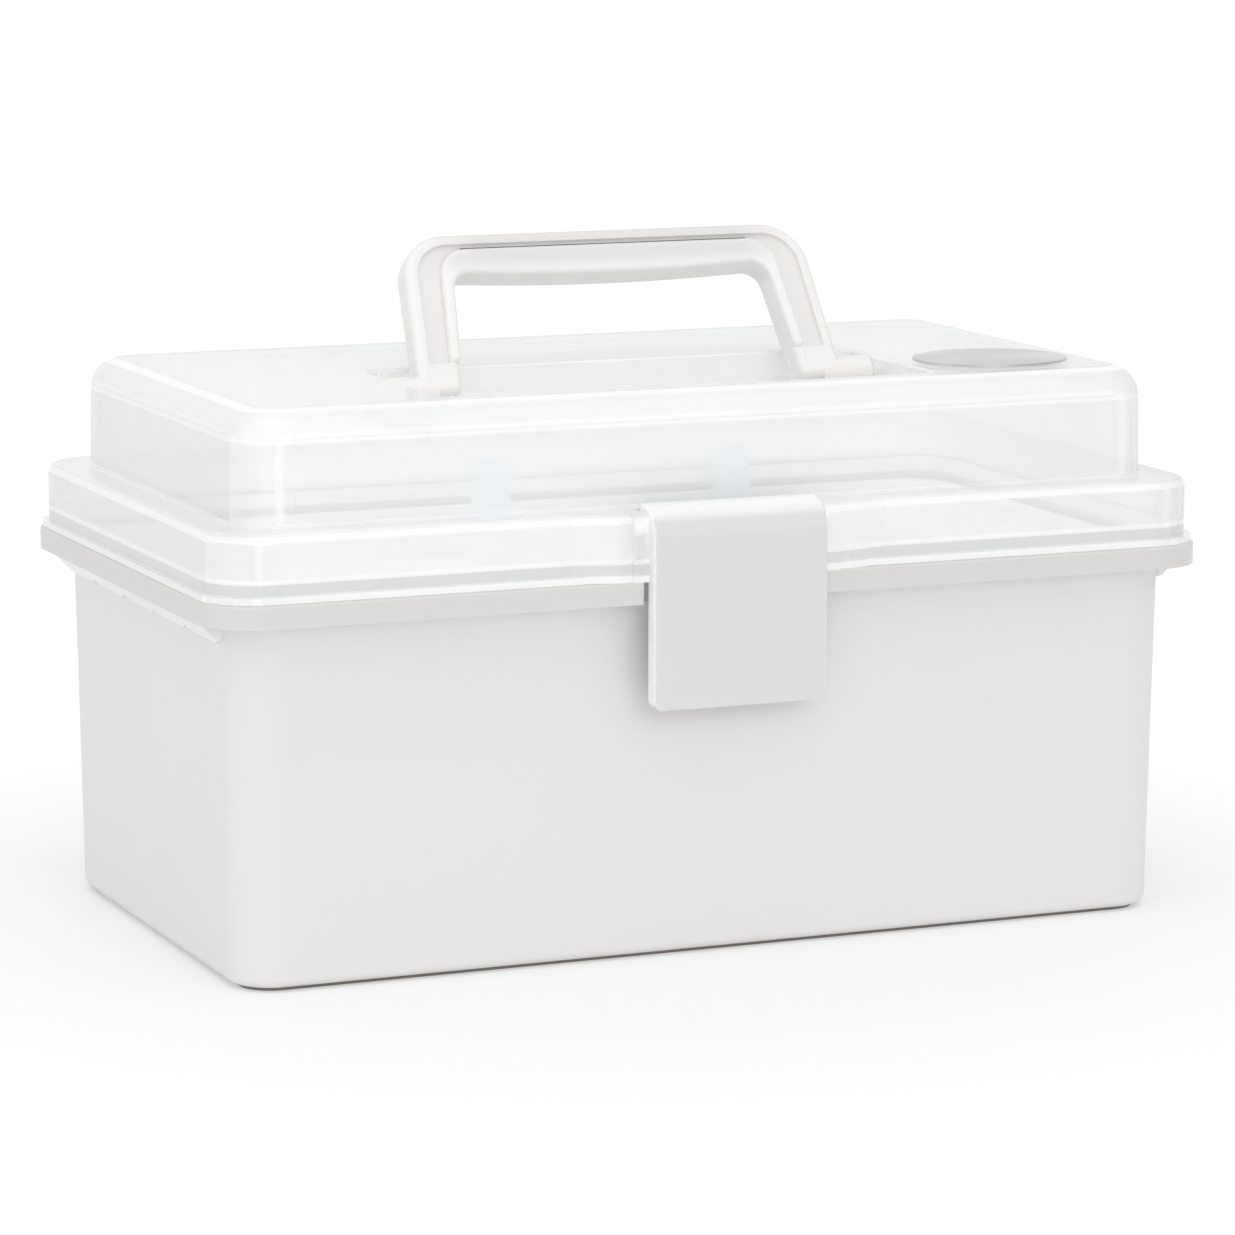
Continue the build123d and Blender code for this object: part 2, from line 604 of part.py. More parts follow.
def snap_rib():
    """Rib inside the latch that catches under the keeper."""
    root = LATCH_FACE + LATCH_WALL / 2
    tip = KEEPER_TIP - SNAP_GAP
    top = KEEPER_TOP - KEEPER_HEIGHT - SNAP_GAP
    points = [(root, top - 2 * SNAP_HEIGHT), (tip, top - SNAP_HEIGHT), (tip, top), (root, top)]
    return prism_x(points, -SNAP_LENGTH / 2, SNAP_LENGTH / 2)


def front_latch():
    """Hollow latch plate with its snap rib and its two pins."""
    half = LATCH_WIDTH / 2
    body = prism_x(latch_profile(0), -half, half)
    body = fillet(body.edges().filter_by(Axis.Y).group_by(Axis.Z)[0], LATCH_CORNER)
    front = body.faces().sort_by(Axis.Y)[0].edges().sort_by(Axis.Z)[:-1]
    body = fillet(front, LATCH_EDGE_ROUND)
    hollow = prism_x(latch_profile(LATCH_WALL), LATCH_WALL - half, half - LATCH_WALL)
    latch = body - hollow + snap_rib()
    reach = half + LATCH_SIDE_GAP + LATCH_PIN_GRIP
    for side in (-1, 1):
        pin = rod_x(LATCH_PIN_RADIUS, half - LATCH_WALL / 2, reach, LATCH_PIN_Y, LATCH_PIN_Z)
        latch += on_side(pin, side)
    return latch


# ---------------------------------------------------------------- handle

def handle_plane(offset):
    """Plane of the leaning handle, moved forwards: X along the bar, Y up the legs."""
    lean = radians(HANDLE_LEAN)
    normal = (0, -cos(lean), sin(lean))
    origin = (0, PIVOT_Y + offset * normal[1], PIVOT_Z + offset * normal[2])
    return Plane(origin=origin, x_dir=(1, 0, 0), z_dir=normal)


def bail_outline(rim):
    """Outer edge of the handle, drawn in by a rim, as one closed face."""
    foot = HANDLE_FOOT_SPAN / 2 - rim
    top = HANDLE_TOP_SPAN / 2 - rim
    end = HANDLE_REACH - rim
    low = -HANDLE_THICK
    face = make_face(Polyline([(-foot, low), (-top, end), (top, end), (foot, low)], close=True))
    return fillet(face.vertices().group_by(Axis.Y)[-1], HANDLE_CORNER - rim)


def finger_gap(rim, rise, bow):
    """Gap between the legs, widened by a rim and raised at its top, which may bow downwards."""
    foot = HANDLE_FOOT_SPAN / 2 - LEG_WIDTH + rim
    top = HANDLE_TOP_SPAN / 2 - LEG_WIDTH - LEG_FLARE + rim
    end = HANDLE_REACH - BAR_DEPTH + rise
    low = -HANDLE_THICK - MERGE
    left, right = (-top, end), (top, end)
    crown = ThreePointArc(left, (0, end - GRIP_SAG), right) if bow else Line(left, right)
    sides = Polyline([right, (foot, low), (-foot, low), left])
    face = make_face(sides + crown)
    return fillet(face.vertices().group_by(Axis.Y)[-1], HANDLE_INNER_CORNER + rim)


def below(height):
    """Area of the handle's plane that lies below a height, to cut away."""
    depth = 2 * HANDLE_THICK + height
    return Pos(0, height - depth / 2) * Rectangle(2 * HANDLE_FOOT_SPAN, depth)


def handle_bail():
    """Legs and bar in one, rounded all over, with its shallow channel and groove line."""
    foot_end = HANDLE_EDGE_ROUND - HANDLE_THICK / 2
    outline = bail_outline(0) - finger_gap(0, 0, True) - below(foot_end)
    bail = extrude(handle_plane(-HANDLE_THICK / 2) * outline, HANDLE_THICK)
    bail = fillet(bail.edges(), HANDLE_EDGE_ROUND)
    channel = bail_outline(CHANNEL_EDGE) - finger_gap(CHANNEL_RIM, GRIP_DEPTH, False) - below(CHANNEL_START)
    channel_floor = HANDLE_THICK / 2 - CHANNEL_DEPTH
    bail -= extrude(handle_plane(channel_floor) * channel, HANDLE_THICK)
    groove_height = HANDLE_REACH - BAR_DEPTH + GRIP_DEPTH + GROOVE_WIDTH / 2
    groove = Pos(0, groove_height) * Rectangle(GROOVE_LENGTH, GROOVE_WIDTH)
    return bail - extrude(handle_plane(channel_floor - GROOVE_DEPTH) * groove, HANDLE_THICK)


def handle_grip():
    """Fuller lower part of the bar that the fingers close round, running down the legs as a rim."""
    band = finger_gap(CHANNEL_RIM, GRIP_DEPTH, False) - finger_gap(0, 0, True) - below(CHANNEL_START)
    grip = extrude(handle_plane(-HANDLE_THICK / 2) * band, HANDLE_THICK + GRIP_PROUD)
    return fillet(grip.edges(), GRIP_ROUND)


def carry_handle():
    """Bail handle with its grip, collars and two pins."""
    handle = handle_bail() + handle_grip()
    leg = HANDLE_FOOT_SPAN / 2
    wall = POCKET_LENGTH / 2
    collar = rod_x(COLLAR_RADIUS, leg - LEG_WIDTH / 2, wall - COLLAR_GAP, PIVOT_Y, PIVOT_Z)
    pin = rod_x(PIVOT_RADIUS, leg, wall + PIVOT_GRIP, PIVOT_Y, PIVOT_Z)
    for side in (-1, 1):
        handle += on_side(collar + pin, side)
    return handle


# ---------------------------------------------------------------- tray

def tray_well(x_low, x_high, y_low, y_high):
    """Space of one compartment, rounded in its corners and bevelled at its floor."""
    floor = TRAY_BOTTOM + TRAY_WALL
    taper = 2 * (TRAY_TOP - floor) * tan(radians(TRAY_DRAFT))
    well = block(
        x_high - x_low - taper, y_high - y_low - taper, WELL_CORNER, floor, TRAY_TOP + MERGE, -TRAY_DRAFT
    )
    well = chamfer(edges_at(well, floor), WELL_BEVEL)
    return Pos((x_low + x_high) / 2, (y_low + y_high) / 2, 0) * well


def well_row(count, y_low, y_high):
    """A row of equal compartments along the tray."""
    inside = TRAY_LENGTH - 2 * TRAY_WALL
    pitch = (inside + DIVIDER_WALL) / count
    wells = []
    for index in range(count):
        left = -inside / 2 + index * pitch
        wells.append(tray_well(left, left + pitch - DIVIDER_WALL, y_low, y_high))
    return wells


def tray_tab():
    """Upright finger tab on the long divider, right of the middle."""
    middle = TAB_SPACING / 2
    plate = box_between(
        (middle - TAB_WIDTH / 2, -DIVIDER_WALL / 2, TRAY_TOP - DIVIDER_DROP - TAB_ROOT),
        (middle + TAB_WIDTH / 2, DIVIDER_WALL / 2, TRAY_TOP + TAB_HEIGHT),
    )
    return fillet(plate.edges().filter_by(Axis.Y).group_by(Axis.Z)[-1], TAB_CORNER)


def tray_flange():
    """Flat rim that rests on the base's ledge at the back and the ends; the front passes the latch recess."""
    gap = RIM_WALL + TRAY_FLANGE_GAP
    flange = block(
        RIM_LENGTH - 2 * gap, RIM_WIDTH - 2 * gap, TRAY_FLANGE_CORNER, TRAY_TOP - TRAY_FLANGE, TRAY_TOP
    )
    return flange - box_between(
        (-RIM_LENGTH / 2, -RIM_WIDTH / 2, TRAY_LEDGE - MERGE),
        (RIM_LENGTH / 2, -TRAY_WIDTH / 2, TRAY_TOP + MERGE),
    )


def lift_out_tray():
    """Tray with two rows of compartments that hangs on the base's ledge."""
    drop = 2 * TRAY_DEPTH * tan(radians(TRAY_DRAFT))
    tray = block(TRAY_LENGTH - drop, TRAY_WIDTH - drop, TRAY_CORNER, TRAY_BOTTOM, TRAY_TOP, -TRAY_DRAFT)
    tray = chamfer(edges_at(tray, TRAY_BOTTOM), WELL_BEVEL) + tray_flange()
    inside = TRAY_WIDTH / 2 - TRAY_WALL
    front = well_row(FRONT_WELLS, -inside, -DIVIDER_WALL / 2)
    back = well_row(BACK_WELLS, DIVIDER_WALL / 2, inside)
    for well in front + back:
        tray -= well
    relief = block(
        TRAY_LENGTH - 2 * TRAY_WALL,
        TRAY_WIDTH - 2 * TRAY_WALL,
        TRAY_CORNER - TRAY_WALL,
        TRAY_TOP - DIVIDER_DROP,
        TRAY_TOP + MERGE,
    )
    tray -= relief
    for side in (-1, 1):
        tray += on_side(tray_tab(), side)
    return tray


PIECES = {
    "base_shell": base_shell,
    "lid_shell": lid_shell,
    "lid_badge": lid_badge,
    "front_latch": front_latch,
    "carry_handle": carry_handle,
    "lift_out_tray": lift_out_tray,
}


def main():
    os.makedirs("parts", exist_ok=True)
    for name, make in PIECES.items():
        shape = make()
        export_step(shape, f"parts/{name}.step")
        print(name, "solids", len(shape.solids()), "volume", round(shape.volume))


main()
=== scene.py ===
"""Storage case with a clear domed lid: finishes, badge plate, tray corner webs, stage and camera.

Lengths are in metres, in the model's own frame: +Z is up and -Y is the front.
"""

import json
from math import cos, pi, radians, sin, tan
from typing import NamedTuple

import bmesh
import bpy
from mathutils import Matrix, Vector


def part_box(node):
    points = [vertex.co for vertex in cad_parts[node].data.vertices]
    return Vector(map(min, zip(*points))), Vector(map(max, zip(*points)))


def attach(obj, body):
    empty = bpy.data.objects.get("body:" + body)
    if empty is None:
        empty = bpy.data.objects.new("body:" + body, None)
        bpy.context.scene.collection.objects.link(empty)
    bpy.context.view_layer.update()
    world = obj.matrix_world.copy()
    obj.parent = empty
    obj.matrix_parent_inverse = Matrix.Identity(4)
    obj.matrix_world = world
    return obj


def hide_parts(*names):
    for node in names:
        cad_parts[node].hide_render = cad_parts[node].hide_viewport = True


bl_info = {
    "name": "Clear-lid storage case",
    "version": (1, 0, 0),
    "blender": (4, 5, 0),
    "location": "3D View > Sidebar > Storage case",
    "description": "Finishes, badge plate, stage and camera for a lidded storage case",
    "category": "Object",
}

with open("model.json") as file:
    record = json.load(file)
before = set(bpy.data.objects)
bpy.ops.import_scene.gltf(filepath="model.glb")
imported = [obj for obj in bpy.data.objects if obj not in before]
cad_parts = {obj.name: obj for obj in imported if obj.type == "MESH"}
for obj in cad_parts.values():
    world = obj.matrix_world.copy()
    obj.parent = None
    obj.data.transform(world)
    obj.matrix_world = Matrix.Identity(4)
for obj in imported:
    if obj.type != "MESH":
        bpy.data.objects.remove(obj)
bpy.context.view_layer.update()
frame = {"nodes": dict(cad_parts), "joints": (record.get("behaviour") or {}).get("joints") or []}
NODES = frame["nodes"]

MM = 0.001
AXIS_X = (1.0, 0.0, 0.0)
AXIS_Z = (0.0, 0.0, 1.0)
WHITE = (1.0, 1.0, 1.0, 1.0)
FACE_SKIN = 0.1 * MM             # a face this near to a plane still counts as lying in it

# ---------------------------------------------------------------- places on the pieces

# Base: heights, and distances from the middle along X
FOOT_PAINTED_SHADOW_BAND = (-0.0010, 0.0014)    # underside and foot plate, darkened as painted shadow in the gap under the case
GUSSET_BAND = (0.0950, 0.1115)   # end gussets
GUSSET_START = 0.1564            # they lie further out than this
UNDER_LIP_PAINTED_LIGHT = (0.1050, 0.1108)     # the wall grows lighter between these heights, painted light against the shade under the lip
# Heights of the thick lip, which gets painted shade
LIP_PAINTED_SHADE_BAND = (0.1110, 0.1190)

# Lift-out tray
TAB_BAND = (0.1200, 0.1600)      # heights between which the finger tabs stand
TRAY_LOW, TRAY_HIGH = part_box("lift_out_tray")
TRAY_FLANGE = TRAY_HIGH.y + TRAY_LOW.y  # reach of the flange, which the front doesn't have
TRAY_WALL = 0.0016
TRAY_RIM = 0.1167                # height of its walls' top
TRAY_ROUND = 0.0100              # radius of its outer corners at the bottom
TRAY_DRAFT = radians(1.5)
WEB_LOW = TRAY_LOW.z + TRAY_WALL - FACE_SKIN  # the corner webs start just inside the tray's floor
WEB_HIGH = TRAY_RIM - 0.02 * MM  # and end just under its rim
WEB_SKIN = 0.03 * MM             # they stay this much inside its outer faces
WEB_SHARP = radians(35.0)        # edges that turn by more than this are shaded sharp

# Latch
LATCH_PAINTED_HIGHLIGHT_FADE = (0.1365, 0.1405)    # painted highlight: it grows lighter over its bend, between these heights
LATCH_SIDE = 0.0283              # its side walls, which get painted light, lie further out along X than this

# Carry handle: distances in its own leaning plane, up from the pivot and along X from the middle
HANDLE_FOLD = next(joint for joint in frame["joints"] if joint["name"] == "handle_fold")
HANDLE_PIVOT = HANDLE_FOLD["pos_m"]
HANDLE_LEAN = radians(HANDLE_FOLD["range_deg"][1] - 90.0)  # raised, it leans back by this
CHANNEL_FLOOR = 0.0037           # in front of the middle plane
BAR_FADE_UP = (0.03696, 0.04158)   # the grip bar's painted shade comes in over this height
BAR_FADE_ALONG = (0.0448, 0.0640)  # and goes out over this stretch of each bend
GROOVE_BAND = (0.04575, 0.04695)   # heights of the groove line, a painted shadow line
GROOVE_REACH = 0.0492            # its end along X

# Clear lid
LID_LOW = 0.1187                 # seat
LID_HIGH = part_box("lid_shell")[1].z
LEDGE_LOW = 0.1390               # the latch pad ends below the ledge
PAD_REACH = 0.0660               # and lies within this distance of the middle
LID_END_PAINTED_SHADE_FADE = (0.14136, 0.1520)   # painted shade: the dome's ends grow greyer over this stretch along X

# Badge plate
PLATE_WALL_SHARE = 0.55          # height of its upright rim as a share of the plate's
PLATE_ROUND = 0.5 * MM           # how far the rim's round reaches inwards
PLATE_ROUND_RISE = 0.3 * MM      # and how far up

# ---------------------------------------------------------------- make-up of the finishes

PLASTIC_IOR = 1.49
MILK_RADIUS = (1.0, 0.95, 0.85)  # red light goes furthest into the white plastic
MILK_DEPTH = 2.5 * MM
CONVEX_EDGE = (0.50, 0.58)         # pointiness at which an edge begins to grow lighter and smoother, and does so fully
CONVEX_EDGE_SHARE = 0.5
CONVEX_EDGE_TONE = 1.03
CONVEX_EDGE_POLISH = 0.06
RUB_SPREAD = 0.08                # how much rougher or smoother the rubbed patches are
SPECK_TONE = 0.35
SPECK_PICK = 0.6                 # places for specks with a random value under this stay empty
WAVE_STRENGTH = 0.6
GRAIN_STRENGTH = 0.5

LID_IOR = 1.5
LID_CLOUD_TONE = 0.985
LID_CLOUD_SPREAD = 0.04
LID_WAVE_STRENGTH = 0.8
LID_RIM_BLEND = 0.3
LID_SHADED_TONE = 0.7            # of faces seen edge on, and the painted shade of the end walls
# Painted shade: tone of the crease above the lid's flange
LID_CREASE_PAINTED_SHADE = 0.72
# Painted highlight: how white the lid's rounded edges are painted
LID_PAINTED_HIGHLIGHT_WHITE = 0.5

# Roundness against whiteness of the painted highlight: a rounded edge of the lid is brightest where it begins
# to turn
LID_PAINTED_HIGHLIGHT_STOPS = [(0.012, 0.0), (0.03, 1.0), (0.07, 0.15), (0.29, 0.1)]

BRUSH_SIZE = 0.25 * MM
BRUSH_STRETCH = (0.04, 1.0, 1.0)
BRUSH_DEPTH = 0.02 * MM
BRUSH_STRENGTH = 0.5
BRUSH_SPREAD = 0.12
BADGE_PAINTED_REFLECTION_SIZE = 26.0 * MM
BADGE_PAINTED_REFLECTION_SPAN = (0.35, 0.65)       # values of the cloud over which the badge grows lighter, a painted reflection
BADGE_PAINTED_REFLECTION_TONES = (0.93, 1.10)

FLOOR_MOTTLE_SIZE = 0.35
FLOOR_MOTTLE_DEPTH = 0.005
FLOOR_ROUGHNESS = 0.85
FLOOR_SHINE = 0.1
FLOOR_FADE = (0.168, 0.360)      # distance from the middle over which the floor turns white


class LidBand(NamedTuple):
    """Tones of the lid between two shares of its height: white is a painted highlight and grey a painted
    shade.
    """

    low: float
    high: float
    haze: float = 0.0
    white: float = 0.0
    grey: float = 0.0


# White amounts are painted highlights along the lid's edges and rounds; the grey one is painted shade in the
# crease
LID_BANDS = (
    LidBand(0.000, 0.034, haze=0.42, white=0.25),  # flange, with a faint painted highlight
    LidBand(0.042, 0.098, haze=0.34, grey=0.90),   # crease above it, painted shade
    LidBand(0.104, 0.122, haze=0.34, white=0.70),  # painted highlight line at the foot of the skirt
    LidBand(0.130, 0.315, haze=0.08),              # skirt
    LidBand(0.327, 0.350, haze=0.38, white=0.60),  # painted highlight along the edge of the ledge
    LidBand(0.362, 0.815, haze=0.04),              # wall of the dome
    LidBand(0.822, 0.832, haze=0.30, white=0.80),  # painted highlight line at the foot of the dome's round
    LidBand(0.840, 0.972, haze=0.05, white=0.20),  # the round, with a faint painted highlight
    LidBand(0.979, 0.989, haze=0.50, white=0.90),  # painted highlight line at its top
    LidBand(0.996, 1.000),                         # top of the dome
)

# ---------------------------------------------------------------- stage

PHOTO_WIDTH = 1235               # pixels across the frame
SENSOR_WIDTH = 36.0              # millimetres, as the camera counts them
LIGHT_AIM = (0.0, 0.0, 0.1)
KEY_SIZE = (1.6, 1.6)
KEY_PLACE = (-0.4, -0.5, 2.3)
FILL_SIZE = (2.0, 1.2)
FILL_PLACE = (-0.35, -2.35, 0.95)
SIDE_SIZE = (1.2, 1.2)
SIDE_PLACE = (-2.3, -0.2, 0.9)
STRIP_SIZE = (2.4, 0.06)
STRIP_PLACE = (0.0, -0.45, 1.7)


# ---------------------------------------------------------------- shader maths

class Signal:
    """A shader socket that takes part in plain arithmetic."""

    def __init__(self, finish, socket):
        self.finish = finish
        self.socket = socket

    def __add__(self, other):
        return self.finish.calculate("ADD", self, other)

    __radd__ = __add__

    def __sub__(self, other):
        return self.finish.calculate("SUBTRACT", self, other)

    def __rsub__(self, other):
        return self.finish.calculate("SUBTRACT", other, self)

    def __mul__(self, other):
        return self.finish.calculate("MULTIPLY", self, other)

    __rmul__ = __mul__


class Finish:
    """A material, or the surroundings, and the nodes that make it."""

    def __init__(self, owner):
        self.owner = owner
        owner.use_nodes = True
        self.tree = owner.node_tree
        self.tree.nodes.clear()

    def node(self, kind, settings=None, sockets=None, output=0):
        """Adds a node: its settings first, then the values or links of its sockets."""
        made = self.tree.nodes.new(kind)
        for key, value in (settings or {}).items():
            if key == "stops":
                set_stops(made.color_ramp, value)
            else:
                setattr(made, key, value)
        for key, value in (sockets or {}).items():
            if isinstance(value, Signal):
                self.tree.links.new(value.socket, made.inputs[key])
            else:
                made.inputs[key].default_value = value
        return Signal(self, made.outputs[output]) if made.outputs else None

    def calculate(self, operation, first, second=0.0):
        """A Math node on values, either of which may be a plain number."""
        return self.node("ShaderNodeMath", {"operation": operation}, {0: first, 1: second})

    def place(self, stretch=(1.0, 1.0, 1.0)):
        """Position on the piece itself, stretched along its axes."""
        spot = self.node("ShaderNodeTexCoord", output="Object")
        return self.node("ShaderNodeMapping", None, {"Vector": spot, "Scale": stretch})

    def noise(self, size, detail=2.0, roughness=0.5, stretch=(1.0, 1.0, 1.0)):
        """Cloudy value from 0 to 1 whose patches are about the given size across."""
        sockets = {
            "Vector": self.place(stretch),
            "Scale": 1.0 / size,
            "Detail": detail,
            "Roughness": roughness,
        }
        return self.node("ShaderNodeTexNoise", None, sockets)

    def ramp(self, value, stops):
        """Grey levels read from a value at the given stops."""
        return self.node("ShaderNodeValToRGB", {"stops": stops}, {"Fac": value})

    def rise(self, value, low, high):
        """Zero up to a low value, one from a high value on, and a straight rise between them."""
        return self.node("ShaderNodeMapRange", None, {"Value": value, "From Min": low, "From Max": high})

    def between(self, value, low, high):
        """One where a value lies between two numbers, and zero elsewhere."""
        above = self.calculate("GREATER_THAN", value, low)
        return above * self.calculate("LESS_THAN", value, high)

    def distance_along(self, direction, origin=(0.0, 0.0, 0.0)):
        """How far a point of the piece lies along a direction from an origin."""
        spot = self.node("ShaderNodeTexCoord", output="Object")
        offset = self.node("ShaderNodeVectorMath", {"operation": "SUBTRACT"}, {0: spot, 1: origin})
        sockets = {0: offset, 1: direction}
        return self.node("ShaderNodeVectorMath", {"operation": "DOT_PRODUCT"}, sockets, output="Value")

    def height(self):
        """Height of a point of the piece."""
        return self.distance_along(AXIS_Z)

    def reach(self):
        """How far a point of the piece lies from the middle along X, on either side."""
        return self.calculate("ABSOLUTE", self.distance_along(AXIS_X))

    def beyond(self, distance):
        """One further from the middle along X than a distance, and zero elsewhere."""
        return self.calculate("GREATER_THAN", self.reach(), distance)

    def roundness(self):
        """Zero on faces square to the piece's own axes, rising over its rounded edges and corners."""
        facing = self.node("ShaderNodeTexCoord", output="Normal")
        size = self.node("ShaderNodeVectorMath", {"operation": "ABSOLUTE"}, {0: facing})
        along_x, along_y, along_z = [
            self.node("ShaderNodeSeparateXYZ", None, {0: size}, output=axis) for axis in "XYZ"
        ]
        largest = self.calculate("MAXIMUM", self.calculate("MAXIMUM", along_x, along_y), along_z)
        return 1.0 - largest

    def blend(self, factor, first, second):
        """Colour between two colours. The Mix node's sockets share names, so they go by number."""
        settings = {"data_type": "RGBA", "blend_type": "MIX"}
        return self.node("ShaderNodeMix", settings, {0: factor, 6: first, 7: second}, output=2)

    def bump(self, height, depth, strength, under=None):
        """Normal raised by a height of 0 to 1 times the depth, on top of another bump where one is given."""
        sockets = {"Height": height, "Distance": depth, "Strength": strength}
        if under is not None:
            sockets["Normal"] = under
        return self.node("ShaderNodeBump", None, sockets)

    def light_path(self, kind):
        """One for rays of a kind, and zero for others."""
        return self.node("ShaderNodeLightPath", output=kind)

    def surface(self, shader, kind="ShaderNodeOutputMaterial"):
        """Ends the nodes with a shader and gives back what they make."""
        self.node(kind, None, {"Surface": shader})
        return self.owner


def set_stops(color_ramp, stops):
    """Writes (position, grey) stops into a new colour ramp, which has two."""
    for index, (position, grey) in enumerate(stops):
        if index < 2:
            element = color_ramp.elements[index]
            element.position = position
        else:
            element = color_ramp.elements.new(position)
        element.color = (grey, grey, grey, 1.0)


def shade(colour, factor):
    """A colour made lighter or darker, with its alpha at one."""
    return (*[channel * factor for channel in colour[:3]], 1.0)


# ---------------------------------------------------------------- finishes

def moulded_plastic(name, look, colour, roughness, milkiness, marks):
    """Opaque white moulding: cloudy tone, specks, satin grain, slight sink waves, and lighter, smoother
    convex edges.

    Marks is a function that adds the piece's own tones, such as a thinner place or a groove.
    """
    finish = Finish(bpy.data.materials.new(name))
    cloud = finish.noise(look.cloud_size, detail=3.0)
    edge = convex_edge(finish)
    tone = finish.blend(cloud, shade(colour, 1.0 - look.cloud_depth), shade(colour, 1.0 + look.cloud_depth))
    tone = finish.blend(CONVEX_EDGE_SHARE * edge, tone, shade(colour, CONVEX_EDGE_TONE))
    tone = marks(finish, look, tone)
    tone = finish.blend(look.speck_depth * specks(finish, look), tone, shade(colour, SPECK_TONE))
    wave = finish.noise(look.wave_size, detail=1.0)
    grain = finish.noise(look.grain_size, detail=2.0)
    relief = finish.bump(wave, look.wave_depth, WAVE_STRENGTH)
    relief = finish.bump(grain, look.grain_depth, GRAIN_STRENGTH, relief)
    rubbed = finish.noise(look.rub_size, detail=4.0, roughness=0.6)
    return finish.surface(finish.node("ShaderNodeBsdfPrincipled", None, {
        "Base Color": tone,
        "Roughness": roughness + RUB_SPREAD * (rubbed - 0.5) - CONVEX_EDGE_POLISH * edge,
        "Normal": relief,
        "IOR": PLASTIC_IOR,
        "Subsurface Weight": milkiness,
        "Subsurface Radius": MILK_RADIUS,
        "Subsurface Scale": MILK_DEPTH,
    }))


def convex_edge(finish):
    """Value that rises on convex edges."""
    sharpness = finish.node("ShaderNodeNewGeometry", output="Pointiness")
    return finish.rise(sharpness, *CONVEX_EDGE)


def specks(finish, look):
    """One in sparse tiny spots of dust moulded into the plastic, and zero elsewhere."""
    sockets = {"Vector": finish.place(), "Scale": 1.0 / look.speck_spacing}
    near = finish.node("ShaderNodeTexVoronoi", {"feature": "F1"}, sockets, output="Distance")
    pick = finish.node("ShaderNodeTexVoronoi", {"feature": "F1"}, sockets, output="Color")
    small = finish.calculate("LESS_THAN", near, look.speck_size / look.speck_spacing)
    return small * finish.calculate("GREATER_THAN", pick, SPECK_PICK)


def base_marks(finish, look, tone):
    """Painted light and shade on the base: painted shade on the thick lip, painted light on the wall below it
    and on the thin gussets, and a painted shadow on the underside and foot plate.
    """
    height = finish.height()
    # Painted light on the wall under the lip, in place of the shade that the lip casts
    tone = finish.blend(finish.rise(height, *UNDER_LIP_PAINTED_LIGHT), tone, look.under_lip_painted_light_colour)
    # Painted shade on the thick lip
    tone = finish.blend(finish.between(height, *LIP_PAINTED_SHADE_BAND), tone, shade(look.base_colour, look.lip_painted_shade))
    # Painted light on the thin gussets, as if light shone through them
    gusset = finish.between(height, *GUSSET_BAND) * finish.beyond(GUSSET_START)
    tone = finish.blend(gusset, tone, look.gusset_painted_light_colour)
    # Painted shadow on the underside and foot plate, where the gap under the case lies in shade
    return finish.blend(finish.between(height, *FOOT_PAINTED_SHADOW_BAND), tone, look.foot_painted_shadow_colour)


def tray_marks(finish, look, tone):
    """Bluish thin finger tabs."""
    return finish.blend(finish.between(finish.height(), *TAB_BAND), tone, look.tab_colour)


def latch_marks(finish, look, tone):
    """Painted light: a painted highlight over the bend, and lighter side walls in place of their shade."""
    # Painted highlight over the bend and painted light on the side walls, which lie in shade
    tone = finish.blend(finish.rise(finish.height(), *LATCH_PAINTED_HIGHLIGHT_FADE), tone, look.latch_painted_light)
    return finish.blend(finish.beyond(LATCH_SIDE), tone, look.latch_painted_light)


def handle_marks(finish, look, tone):
    """Painted shade: greyer channel and grip bar, and a dark groove line painted as the shadow of a step, in
    the leaning front face.
    """
    forward = finish.distance_along((0.0, -cos(HANDLE_LEAN), sin(HANDLE_LEAN)), HANDLE_PIVOT)
    upward = finish.distance_along((0.0, sin(HANDLE_LEAN), cos(HANDLE_LEAN)), HANDLE_PIVOT)
    # Painted shade in the recessed channel and on the grip bar, and a painted shadow line for the groove
    channel = finish.between(forward, CHANNEL_FLOOR - FACE_SKIN, CHANNEL_FLOOR + FACE_SKIN)
    tone = finish.blend(channel, tone, shade(look.handle_colour, look.channel_painted_shade))
    bar = finish.rise(upward, *BAR_FADE_UP) * (1.0 - finish.rise(finish.reach(), *BAR_FADE_ALONG))
    tone = finish.blend(bar, tone, shade(look.handle_colour, look.bar_painted_shade))
    groove = finish.between(forward, 0.0, CHANNEL_FLOOR - FACE_SKIN)
    groove = groove * finish.between(upward, *GROOVE_BAND) * (1.0 - finish.beyond(GROOVE_REACH))
    return finish.blend(groove, tone, shade(look.handle_colour, look.groove_painted_shadow))


def lid_stops(tone):
    """Ramp stops of one of the tones of the lid's bands."""
    return [(end, getattr(band, tone)) for band in LID_BANDS for end in (band.low, band.high)]


def lid_painted_edge_highlight(finish):
    """Painted highlight along the lid's rounded edges, all but those of the latch pad."""
    pad = finish.between(finish.height(), LID_LOW, LEDGE_LOW) * (1.0 - finish.beyond(PAD_REACH))
    return finish.ramp(finish.roundness(), LID_PAINTED_HIGHLIGHT_STOPS) * (1.0 - pad)


